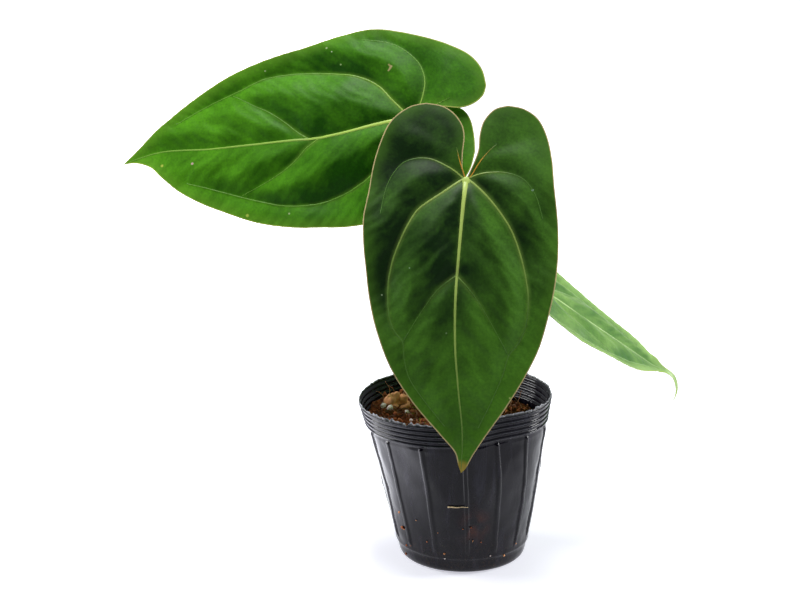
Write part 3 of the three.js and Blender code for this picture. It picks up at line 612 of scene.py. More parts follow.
crown_skin, add, shader = start_material("scarred_crown_skin", IOR=1.45, Roughness=0.75)
place = add("TexCoord").outputs["Object"]
bands = add("Mapping", {"Vector": place, "Scale": (0.3, 0.3, 1)})
scars = add("TexNoise", {"Vector": bands, "Scale": 1 / (2.5 * MM), "Detail": 5})
age = add("TexNoise", {"Vector": place, "Scale": 1 / (7 * MM), "Detail": 4})
crown_green = add("Mix", {0: age, 6: "#6a7338", 7: "#8a7448"}, data_type="RGBA")
crown_tone = add("Mix", {0: scars, 6: "#4a3a22", 7: crown_green}, data_type="RGBA")
scarred = add("Bump", {"Strength": 0.8, "Distance": 0.5 * MM, "Height": scars})
fill_sockets(shader, {"Base Color": crown_tone, "Normal": scarred})

crown_path = smooth_path([(-4.5, 0, 70), (-4.3, 0.4, 82), (-4, 1, 94), (-3.6, 1.4, 105)], 70)
share = np.linspace(0, 1, 70)
crown_radius = np.interp(share, [0, 0.3, 0.7, 0.9, 1], [4.5, 6.6, 7.2, 5.6, 2.6])
crown_radius = crown_radius + 0.25 * np.sin(share * 34) * np.sin(np.pi * share)
points, faces, along = rod(crown_path, crown_radius, sides=40)
points = points + (points - CROWN) * [1, 1, 0] * 0.04 * waves(points, 2.6, 61)[:, None]
make_piece("crown_core", (points, faces), crown_skin, "stem")

# Dry bract: brown, papery, streaked lengthwise with fibres.
dry_bract = two_tones("dry_papery_bract", "#5a4326", "#b79a68", 0.8, 4, (0.7, 0.2), stretch=(1, 1, 0.1),
                      IOR=1.45, Roughness=0.8)


def point_normals(points, faces):
    """Mean normal at each point."""
    normals = np.zeros_like(points)
    for size in (3, 4):
        corners = np.array([face for face in faces if len(face) == size])
        if len(corners):
            a, b, c = points[corners[:, 0]], points[corners[:, 1]], points[corners[:, 2]]
            across = np.cross(b - a, c - a)
            if size == 4:
                across = across + np.cross(c - a, points[corners[:, 3]] - a)
            for k in range(size):
                np.add.at(normals, corners[:, k], across)
    return normals / np.maximum(np.linalg.norm(normals, axis=1), 1e-9)[:, None]


def thickened(points, faces, thickness):
    """An open sheet closed into a thin body, with its second face behind it."""
    count = len(points)
    normals = point_normals(points, faces)
    back = points - normals * np.broadcast_to(thickness, count)[:, None]
    closed = list(faces) + [tuple(corner + count for corner in face[::-1]) for face in faces]
    edges = {(a, b) for face in faces for a, b in zip(face, face[1:] + face[:1])}
    closed += [(b, a, a + count, b + count) for a, b in edges if (b, a) not in edges]
    return np.concatenate([points, back]), closed


parts = []
for degrees, length in [(-62, 27), (62, 24), (181, 30)]:
    s, t = np.meshgrid(np.linspace(0, 0.995, BRACT_ROWS), np.linspace(-1, 1, BRACT_COLUMNS), indexing="ij")
    turned = math.radians(degrees) + t * 0.62 * (1 - s**1.6)
    radius = 6.2 + 3.4 * s**1.5 + 0.25 * np.sin(9 * t + degrees) * s + 0.3 * t * t * s
    curl = around(radius, turned, 90 + length * s - 0.8 * np.abs(t) * s).reshape(-1, 3) + CROWN
    sheet_faces = [(a, a + 1, a + BRACT_COLUMNS + 1, a + BRACT_COLUMNS)
                   for i in range(BRACT_ROWS - 1) for a in range(i * BRACT_COLUMNS,
                                                                 (i + 1) * BRACT_COLUMNS - 1)]
    parts.append((*thickened(curl, sheet_faces, 0.45), {}))
make_piece("crown_bracts", gather(parts), dry_bract, "stem")

# Roots: thick and pale, with a corky velvety skin.
root_skin = two_tones("velvety_root_skin", "#6f5a3e", "#cbbf9f", 2, 5, (0.6, 0.3), IOR=1.4, Roughness=0.85)

# The same draws as the solid's roots, so that both have the same form.
state = 21
root_draws = []
for _ in range(15):
    state = (state * 1664525 + 1013904223) % 4294967296
    root_draws.append(state / 4294967296)
parts = []
for k, degrees in enumerate([20, 92, 165, 236, 308]):
    angle = math.radians(degrees + 14 * root_draws[3 * k])
    reach = 24 + 8 * root_draws[3 * k + 1]
    depth = 30 + 20 * root_draws[3 * k + 2]
    path = smooth_path([(-4.5 + reach * part * math.sin(angle), -reach * part * math.cos(angle), 76 - down)
                        for part, down in [(0.1, 0), (0.55, 6), (0.95, depth * 0.55), (1, depth)]], 60)
    root_radius = np.interp(np.linspace(0, 1, 60), [0, 0.6, 1],
                            [2, 1.6, 0.9]) * (1 + 0.08 * waves(path, 4, 70 + k))
    parts.append((*rod(path, root_radius, sides=16)[:2], {}))
make_piece("crown_roots", gather(parts), root_skin, "stem")

# Leaf blades. The real ones are tough and satin, quilted by sunken veins with pale ribs that stand out
# behind, and they end in a thin pale margin. v runs down the midrib from the stalk in millimetres, u across
# it; pitch and roll say how the sheet lies at each v, and each half has the edge of its notch (inner) and
# its margin (outer).
LEAVES = {
    "front": dict(
        base=(-0.5, -30, 245), heading=-90, pitch=[(-50, 48.7), (0, 55.7), (165, 78.8), (173, 84)],
        roll=[(0, 0)], arch=0.0035, cup=0, wave=1.2, drop=0,
        midrib=[(0, 0), (-2.4, 22), (-4.5, 45), (-6.7, 73), (-7, 100), (-5.3, 125), (-3, 150),
                (-3.7, 172.6)],
        minus=dict(
            inner=[(0, 0), (-2, -6), (-1.8, -15), (-0.8, -24), (-2, -32), (-7, -40), (-14, -45),
                   (-23, -47)],
            outer=[(-23, -47), (-33, -44.7), (-43, -37), (-49, -26), (-54, -10), (-57, 8), (-60, 24),
                   (-60, 40), (-58.5, 55), (-56.5, 72), (-52.3, 91), (-44, 113), (-31, 133), (-16, 150.5),
                   (-7.5, 160.5), (-5.3, 168), (-3.7, 172.6)]),
        plus=dict(
            inner=[(0, 0), (4.5, -9), (7.2, -17), (8, -26), (10.7, -35), (17, -42.5), (25, -45.5)],
            outer=[(25, -45.5), (34.5, -44), (43, -38), (48, -27), (50.5, -12), (51.3, 6), (53, 26),
                   (53, 45), (51, 63.5), (47, 82), (41, 102), (32, 119.5), (21.5, 136), (11, 150.7),
                   (3.5, 162), (-1, 170), (-3.7, 172.6)]),
        veins=[
            (3.0, [(-2, 0.5), (-14, 9), (-26.5, 17.8), (-32, 25), (-38, 37), (-42.5, 49), (-45, 61),
                   (-45.5, 73), (-44.5, 84), (-41.5, 92), (-37, 98), (-36, 108), (-33, 119), (-25, 131),
                   (-13, 146)]),
            (3.0, [(2, 1), (13, 12.5), (24.8, 29.7), (31, 47), (34.5, 65), (35, 76), (33.5, 88), (29.5, 98),
                   (23.5, 106), (20, 117), (14, 131), (6, 147)]),
            (2.0, [(-2.7, -1.3), (-11, -7), (-21, -12), (-31.4, -12.2), (-39, -8), (-46, 4), (-50, 22)]),
            (2.0, [(4, -1.3), (14, -3.2), (24, -2.8), (33.3, 1.3), (40, 11), (44, 25)]),
            (1.2, [(-1.3, -2.8), (-3.4, -9), (-4.6, -14), (-5.4, -18)]),
            (1.2, [(3, -1.7), (7.5, -8.5), (12.5, -15), (18, -20.5)]),
            (2.2, [(-5.8, 59), (-12, 63.5), (-18, 69), (-24.5, 78), (-31, 88), (-37, 98)]),
            (2.2, [(-5.5, 59.7), (3, 70), (10, 81), (16, 92), (23.5, 106)])],
        folds=[(0.9, [(-3.5, 30), (-14, 40), (-24, 52), (-33, 66)]),
               (0.9, [(-3.5, 33), (8, 46), (18, 60), (26, 76)]),
               (1.3, [(-7, 92), (-15, 105), (-23, 119), (-26, 128)]),
               (1.3, [(-6.5, 91), (3, 104), (11, 118), (15, 128)]),
               (0.9, [(-5.5, 120), (-12, 134), (-15, 143)]), (0.9, [(-5.3, 120), (2, 134), (6, 143)]),
               (0.9, [(-5, -9), (-16, -22), (-30, -34)]), (1.0, [(11, -14), (24, -20), (38, -26)])]),
    "left": dict(
        base=(-32, 15, 272.2), heading=172, pitch=[(-50, -2), (0, 3), (175, 20.5), (184, 24)],
        roll=[(0, -57)], arch=0.003, cup=0, wave=1.0, drop=4,
        midrib=[(0, 0), (4, 23), (8, 46), (8.5, 64), (7.3, 90), (3.6, 125), (-3.5, 158), (-3.4, 182.8)],
        minus=dict(
            inner=[(0, 0), (-2.5, -6), (-4.5, -12), (-5.4, -19), (-4.5, -29), (-7.5, -37), (-13, -42),
                   (-19.5, -43.3)],
            outer=[(-19.5, -43.3), (-30, -40), (-39, -33), (-46, -22.5), (-52, -9), (-58, 10), (-60.3, 26),
                   (-57.5, 43), (-53.3, 62), (-50, 79), (-44.5, 100), (-39, 117), (-31, 135), (-21, 153),
                   (-11.5, 168), (-5, 180), (-3.4, 182.8)]),
        plus=dict(
            inner=[(0, 0), (-0.5, -5), (-3.5, -11), (-7, -19), (-6.5, -27), (-3.5, -32), (3, -36),
                   (13, -38.6), (22, -39.8)],
            outer=[(22, -39.8), (34, -37.5), (46, -30), (56, -17), (62, -2), (65, 15), (66.5, 32),
                   (66.9, 45), (65.8, 59), (64.5, 74), (61, 89), (55.5, 104.4), (47.5, 120), (37, 137),
                   (26, 150), (14, 159.5), (5, 165.5), (-1, 174), (-3.4, 182.8)]),
        veins=[
            (3.0, [(-1, 2), (-12, 12.5), (-22, 21), (-29, 33), (-33.5, 50), (-36.3, 70), (-36, 88),
                   (-31, 104), (-26.5, 122), (-18.8, 145)]),
            (3.0, [(2, 2), (15, 8), (27, 17), (38, 29), (45.5, 44), (50, 62), (48.5, 82), (42, 101),
                   (34, 119), (22, 144)]),
            (2.0, [(-2, -2), (-12, -5.6), (-24, -6.6), (-35, -3), (-44, 5), (-50, 15), (-53, 30)]),
            (2.0, [(2, -3), (12, -9), (24, -10), (36, -5), (47, 6), (55, 22)]),
            (1.2, [(-1.5, -3), (-6, -12), (-11, -22)]),
            (2.4, [(8.5, 64), (3, 71), (-5, 79), (-13, 88), (-20, 98), (-28.5, 108.5)]),
            (2.4, [(8.5, 57), (14, 66), (20, 72), (26, 80), (31, 90), (35, 102), (37, 110)])],
        folds=[(1.2, [(6.5, 95), (-4, 108), (-12, 122), (-18, 136)]),
               (1.2, [(6, 95), (14, 108), (20, 122), (23, 136)]), (0.8, [(3, 128), (-5, 140), (-9, 152)]),
               (0.8, [(2.5, 130), (8, 142), (11, 152)]), (0.9, [(-6, -12), (-20, -20), (-34, -22)])]),
    "right": dict(
        base=(15.1, 30, 188.8), heading=20.4,
        pitch=[(-40, 37.8), (0, 37.6), (150, 36.9), (159, 27), (165, 46), (185, 130)],
        roll=[(0, 18.3), (150, 18.3), (168, 66)], arch=0.003, cup=0.034, wave=0.6, drop=0,
        midrib=[(0, 0), (1.5, 40), (2, 80), (3, 120), (2.6, 150), (1.2, 165), (0, 185)],
        minus=dict(
            inner=[(0, 0), (-2.5, -6), (-3.5, -14), (-4.5, -22), (-9, -29), (-19, -33)],
            outer=[(-19, -33), (-29, -30), (-36, -21), (-40, -8), (-41.5, 8), (-42, 25), (-42.3, 42),
                   (-43.4, 55), (-43.5, 68), (-42.5, 80), (-40, 92), (-37, 106), (-32, 119), (-23, 132),
                   (-11, 146), (-1.6, 156), (-0.4, 163), (-0.6, 174), (0, 185)]),
        plus=dict(
            inner=[(0, 0), (2.5, -6), (3.5, -14), (4.5, -22), (9, -29), (20, -33)],
            outer=[(20, -33), (31, -30), (41, -21), (48, -8), (51, 10), (52, 30), (51.5, 48), (50.5, 64),
                   (48.5, 78), (44, 92), (38.5, 108), (31, 125), (21.5, 141), (12, 151.5), (5, 157.5),
                   (2.8, 163), (1.6, 174), (0, 185)]),
        veins=[
            (2.6, [(-2, 1), (-13, 10), (-24, 24), (-30, 42), (-33, 62), (-33, 80), (-30, 98), (-22, 118),
                   (-10, 140)]),
            (2.6, [(2, 1), (13, 10), (25, 24), (33, 42), (36, 62), (35, 82), (31, 102), (24, 122),
                   (12, 142)]),
            (1.6, [(-2, -2), (-11, -6), (-22, -6), (-31, 2), (-36, 16)]),
            (1.6, [(2, -2), (12, -6), (25, -6), (36, 2), (42, 18)]),
            (2.0, [(2, 52), (-10, 64), (-18, 78), (-25, 94), (-29, 104)]),
            (2.0, [(2, 52), (13, 64), (21, 78), (27, 94), (30, 105)])],
        folds=[(1.2, [(2.5, 84), (-8, 98), (-15, 114)]), (1.2, [(2.5, 84), (12, 98), (19, 114)])]),
}
MIDRIB_DEPTH = 2.2
CELL_HALF_WIDTH = 21
VALLEY_DEPTH = 1.8
CELL_RISE = 1.0
LEAF_THICKNESS = 0.55


def leaf_sheet(leaf):
    """Gives the place of (u, v) on a leaf, raised by height off its sheet."""
    heading = math.radians(leaf["heading"])
    pitch_v, pitch_at = zip(*leaf["pitch"])
    roll_v, roll_at = zip(*leaf["roll"])
    steps = np.arange(1, 201)
    onward = np.radians(np.interp(steps - 0.5, pitch_v, pitch_at))
    backward = np.radians(np.interp(0.5 - steps, pitch_v, pitch_at))
    whole = np.arange(-200, 201)
    along = np.concatenate([-np.cumsum(np.cos(backward))[::-1], [0], np.cumsum(np.cos(onward))])
    down = np.concatenate([-np.cumsum(np.sin(backward))[::-1], [0], np.cumsum(np.sin(onward))])
    ahead = np.array([math.cos(heading), math.sin(heading), 0])
    side = np.array([-math.sin(heading), math.cos(heading), 0])
    top = np.array([0, 0, 1])

    def place(u, v, height):
        u, v = np.asarray(u, float), np.asarray(v, float)
        pitch = np.radians(np.interp(v, pitch_v, pitch_at))[..., None]
        roll = np.radians(np.interp(v, roll_v, roll_at))[..., None]
        up = ahead * np.sin(pitch) + top * np.cos(pitch)
        across = side * np.cos(roll) + up * np.sin(roll)
        normal = up * np.cos(roll) - side * np.sin(roll)
        walked = ahead * np.interp(v, whole, along)[..., None] - top * np.interp(v, whole, down)[..., None]
        width = np.sin(leaf["arch"] * u) / leaf["arch"]
        sag = (np.cos(leaf["arch"] * u) - 1) / leaf["arch"] + leaf["cup"] * np.abs(u)
        return np.array(leaf["base"]) + walked + across * width[..., None] + normal * (sag + height)[...,
                                                                                                     None]

    return place


def spline(points, count):
    """count + 1 places on a smooth flat curve through the points."""
    points = np.asarray(points, float)
    last = len(points) - 1
    t = np.linspace(0, last, count + 1)
    i = np.minimum(t.astype(int), last)
    part = (t - i)[:, None]
    p0, p1 = points[np.where(i == 0, i, i - 1)], points[i]
    p2 = points[np.where(i > last - 1, last, i + 1)]
    p3 = points[np.where(i > last - 2, last, i + 2)]
    start, end = (p2 - p0) / 2, (p3 - p1) / 2
    return ((2 * p1 - 2 * p2 + start + end) * part**3 + (3 * p2 - 3 * p1 - 2 * start - end) * part**2
            + start * part + p1)


def across_at(curve, v):
    """u of a curve at v."""
    order = np.argsort(curve[:, 1], kind="stable")
    return np.interp(v, curve[order, 1], curve[order, 0])


def vein_relief(veins, u, v):
    """Veins lie in valleys, and the blade rises between them in rounded cells."""
    total = 0
    for depth, points in veins:
        fade = 1 - 0.6 * np.linspace(0, 1, len(points)) ** 2
        away = np.hypot(points[:, 0] - u[..., None], points[:, 1] - v[..., None])
        slope = 1 - np.minimum(1, (np.sqrt(away**2 + 1.2) - 1.1) / CELL_HALF_WIDTH)
        total = total + (VALLEY_DEPTH * depth * (fade * slope**2).max(-1)) ** 4
    return -(total**0.25)


def leaf_height(leaf, veins, u, v, side, tip):
    """Everything that lifts or sinks the blade off its sheet."""
    middle = across_at(spline(leaf["midrib"], 120), np.maximum(0, v))
    edge = np.minimum(1, np.abs(u - middle) / 45)
    wave = leaf["wave"] * edge**2 * np.sin(v / 11 + side)
    drop = leaf["drop"] * smooth(0, 12, -v) * (1 - smooth(8, 40, u)) * (side > 0)
    taper = smooth(0, 16, tip - v)
    flat = np.stack([u, v], -1)
    slant = v - 0.95 * np.abs(u - middle)
    ripple = 0.1 * np.sin(slant / 1.45 + 1.3 * waves(flat, 14, 31)) * smooth(0, 12, v)
    hammered = 0.22 * waves(flat, 16, 33) + 0.03 * waves(flat, 5, 34)
    texture = (ripple + hammered) * smooth(0, 6, np.abs(u - middle))
    return (vein_relief(veins, u, v) + CELL_RISE + wave + texture) * taper - drop


def leaf_veins(leaf):
    """The midrib, the veins and the soft folds beside them as finely spaced points, each with its depth."""
    return [(depth, spline(points, 14 * len(points)))
            for depth, points in [(MIDRIB_DEPTH, leaf["midrib"])] + leaf["veins"] + leaf["folds"]]


def half_blade(leaf, place, side, columns=64):
    """One half of a blade as rows of points, with what its material needs to know of each."""
    half = leaf["minus" if side < 0 else "plus"]
    veins = leaf_veins(leaf)
    midrib, inner, outer = spline(leaf["midrib"], 240), spline(half["inner"], 240), spline(half["outer"], 480)
    end, tip = half["outer"][0][1], half["outer"][-1][1]
    lobe = end * np.cos(np.linspace(0, np.pi / 2, 46))
    rows = np.concatenate([lobe, tip * (1 - (1 - np.linspace(0, 1, 150)[1:]) ** 1.12)])
    rows[45] = 0
    v = np.repeat(rows[:, None], columns + 1, 1)
    t = np.linspace(0, 1, columns + 1)[None, :]
    one_sided, two_sided = 1 - (1 - t) ** 1.35, t * t * (3 - 2 * t) * 0.6 + t * 0.4
    share = one_sided + (two_sided - one_sided) * smooth(0, 10, -v)
    start = np.where(v < 0, across_at(inner, v), across_at(midrib, v))
    finish = across_at(outer, v)
    u = start + (finish - start) * share
    u[0], u[-1] = finish[0], finish[-1]
    height = leaf_height(leaf, veins, u, v, side, tip)
    outline = np.concatenate([inner, outer])
    edge = np.concatenate([np.hypot(outline[:, 0] - a[..., None], outline[:, 1] - b[..., None]).min(-1)
                           for a, b in zip(np.array_split(u, 12), np.array_split(v, 12))])
    halo = np.zeros_like(u)
    for depth, points in veins[:-len(leaf["folds"])]:
        fade = (1 - 0.9 * np.linspace(0, 1, len(points))) * depth / 3
        away = np.hypot(points[:, 0] - u[..., None], points[:, 1] - v[..., None])
        halo = np.maximum(halo, (fade * np.exp(-away / 1.6)).max(-1))
    halo = np.maximum(halo, 1.1 * np.exp(-np.hypot(u, v - 1) / 3.6))
    middle = across_at(midrib, np.maximum(0, v))
    slant = v - 0.95 * np.abs(u - middle)
    fields = {
        "leaf_mm": np.stack([u, v, 0 * u], -1), "edge_mm": edge, "halo": halo,
        "flow": np.stack([slant / 4, (v + np.abs(u - middle)) / 20, 0 * u + side], -1),
        "outward": np.clip((u - middle) / 6, -1, 1)}
    return place(u, v, height), fields


def welded(points, faces, fields):
    """The same surface with one point where several meet, and no empty faces."""
    _, first, index = np.unique(np.round(points, 3), axis=0, return_index=True, return_inverse=True)
    index = index.ravel()
    kept = [tuple(dict.fromkeys(index[list(face)].tolist())) for face in faces]
    return points[first], [face for face in kept if len(face) > 2], {n: f[first] for n, f in fields.items()}


def leaf_skin(name, dark, lit_colour, sheen, margin, halo_tone, underside, roughness, shine, marks):
    """Waxy leaf skin. marks are (u, v, radius, colour) of spots and scars on its upper face."""
    material, add, shader = start_material(name, IOR=1.4, Specular_IOR_Level=shine)
    spot = add("Attribute", attribute_name="leaf_mm").outputs["Vector"]
    flow = add("Attribute", attribute_name="flow").outputs["Vector"]
    cloud = add("TexNoise", {"Vector": spot, "Scale": 1 / 26, "Detail": 4, "Roughness": 0.55})
    clouds = add("MapRange", {0: cloud, 1: 0.36, 2: 0.66}, interpolation_type="SMOOTHSTEP")
    streak = add("TexNoise", {"Vector": flow, "Scale": 1.0, "Detail": 3, "Roughness": 0.6})
    # Painted light and shade: this field mixes the skin from its shade colour to its lit colour.
    facing = add("Attribute", attribute_name="facing").outputs["Fac"]
    shifted = add("Math", {0: clouds, 1: 0.4, 2: -0.22}, operation="MULTIPLY_ADD")
    filled = add("Math", {0: facing, 1: shifted}, operation="ADD", use_clamp=True)
    body = add("Mix", {0: filled, 6: dark, 7: lit_colour}, data_type="RGBA")
    mottle = add("TexNoise", {"Vector": spot, "Scale": 1 / 1.6, "Detail": 3, "Roughness": 0.6})
    mottled = add("Mix", {0: 0.5, 6: body, 7: mottle}, data_type="RGBA", blend_type="OVERLAY")
    streaked = add("Mix", {0: 0.15, 6: mottled, 7: streak}, data_type="RGBA", blend_type="OVERLAY")
    edge = add("Attribute", attribute_name="edge_mm").outputs["Fac"]
    # Painted sheen: the skin pales towards the edge.
    near_edge = add("MapRange", {0: edge, 1: 9.0, 2: 0.0, 4: 0.4}, interpolation_type="SMOOTHSTEP")
    paler = add("Mix", {0: near_edge, 6: streaked, 7: sheen}, data_type="RGBA")
    brink = add("MapRange", {0: edge, 1: 0.9, 2: 0.2}, interpolation_type="SMOOTHSTEP")
    edged = add("Mix", {0: brink, 6: paler, 7: margin}, data_type="RGBA")
    halo = add("Attribute", attribute_name="halo").outputs["Fac"]
    glow = add("MapRange", {0: halo, 1: 0.15, 2: 1.0, 4: 0.8})
    haloed = add("Mix", {0: glow, 6: edged, 7: halo_tone}, data_type="RGBA")
    tone = haloed.outputs[2]
    for u, v, radius, colour in marks:
        away = add("VectorMath", {0: spot, 1: (u, v, 0)}, operation="DISTANCE")
        inside = add("MapRange", {0: away.outputs["Value"], 1: radius * 1.3, 2: radius * 0.6})
        tone = add("Mix", {0: inside, 6: tone, 7: colour}, data_type="RGBA").outputs[2]
    back = add("Attribute", attribute_name="back").outputs["Fac"]
    sides = add("Mix", {0: back, 6: tone, 7: underside}, data_type="RGBA")
    wax = add("MapRange", {0: cloud, 1: 0.3, 2: 0.7, 3: roughness, 4: roughness + 0.1})
    matt = add("Math", {0: back, 1: 0.18, 2: wax}, operation="MULTIPLY_ADD")
    cells = add("TexNoise", {"Vector": spot, "Scale": 1 / 1.3, "Detail": 4, "Roughness": 0.65})
    pebbled = add("Bump", {"Strength": 0.3, "Distance": 0.08 * MM, "Height": cells})
    furrowed = add("Bump", {"Strength": 0.5, "Distance": 0.25 * MM, "Height": streak, "Normal": pebbled})
    fill_sockets(shader, {"Base Color": sides, "Roughness": matt, "Normal": furrowed})
    return material


def vein_skin(name, bright, faded, warm, underside):
    """Pale vein tissue that turns leaf green towards its end."""
    material, add, shader = start_material(name, IOR=1.45, Roughness=0.38, Specular_IOR_Level=0.5)
    place = add("TexCoord").outputs["Object"]
    along = add("Attribute", attribute_name="fading").outputs["Fac"]
    flecks = add("TexNoise", {"Vector": place, "Scale": 1 / (2 * MM), "Detail": 3})
    speckled = add("Math", {0: flecks, 1: 0.2, 2: along}, operation="MULTIPLY_ADD")
    fading = add("MapRange", {0: speckled, 1: 0.1, 2: 1.1})
    green = add("Mix", {0: fading, 6: bright, 7: faded}, data_type="RGBA")
    warmth = add("Attribute", attribute_name="warmth").outputs["Fac"]
    warmed = add("Mix", {0: warmth, 6: green, 7: warm}, data_type="RGBA")
    back = add("Attribute", attribute_name="back").outputs["Fac"]
    sides = add("Mix", {0: back, 6: warmed, 7: underside}, data_type="RGBA")
    ribbed = add("Bump", {"Strength": 0.3, "Distance": 0.08 * MM, "Height": flecks})
    fill_sockets(shader, {"Base Color": sides, "Normal": ribbed})
    return material


# Looks of the three blades. skin: name, colours in painted shade and in painted light, the painted sheen near
# the edge, colours of the margin, beside the veins and underneath, roughness, and shine. vein: name, colours
# at its start, faded, of warm lobe veins, and underneath. light: how much painted light a cell's tilt outward
# and
# upward gives it. tones: the tone of a level cell, how much tilt changes it, how much lighter the tip is, and
# how much painted sheen lightens the right half. marks: (u, v, radius, colour) of spots and scars.
LOOKS = {
    "front": dict(
        skin=("satin_dark_leaf_skin", "#112a0b", "#46761e", "#4a761e", "#c8b480", "#7c9c48", "#4a6e36",
              0.42, 0.22),
        vein=("pale_vein_of_dark_leaf", "#cce474", "#4e7a2c", "#d89c30", "#7c9a58"),
        light=(0.75, 0.65), tones=(0.37, 0.75, 0.6, 0.17),
        marks=[(-3.7, 170.5, 4.5, "#a08c38"), (38.5, 8, 0.6, "#a8c4b8"), (-49, 70, 0.45, "#93a884"),
               (-12, 93, 0.5, "#6d8a5a"), (24, 130, 0.6, "#9aab60"), (-33, 55, 0.4, "#7c9a74")]),
    "left": dict(
        skin=("glossy_fresh_leaf_skin", "#1a4804", "#4e9010", "#6ca02c", "#b8c060", "#7ca43c", "#4c7a36",
              0.4, 0.16),
        vein=("pale_vein_of_fresh_leaf", "#c8e668", "#6ca434", "#c8d858", "#7c9c50"),
        light=(0, 1), tones=(0.44, 1.15, 0.3, 0.0),
        marks=[(-33, 13, 0.75, "#a89c6c"), (-32, 13.6, 0.7, "#a89c6c"), (-31.2, 14.1, 0.6, "#a89c6c"),
               (-30.5, 14.6, 0.5, "#a89c6c"), (-33.6, 13.8, 0.6, "#a09460"), (-34.3, 14.4, 0.5, "#a09460"),
               (10.3, 138.5, 0.8, "#c8a8a0"), (50.5, 108, 1.0, "#a8c04c"), (6, 158, 0.9, "#a8b848"),
               (54, 80, 0.6, "#a8bc84"), (-50, 51, 0.6, "#a0b880"), (-47, 48, 0.4, "#b4c49c"),
               (-38, 43, 0.5, "#98b474"), (-41, 88, 0.5, "#a0b880")]),
    "right": dict(
        skin=("waxy_young_leaf_skin", "#35661c", "#84aa58", "#a0c278", "#98ac48", "#94b070", "#587f44",
              0.38, 0.6),
        vein=("pale_vein_of_young_leaf", "#b4d084", "#88a870", "#c8d080", "#84a060"),
        light=(0, 1), tones=(0.48, 2.0, 0.0, 0.0),
        marks=[]),
}

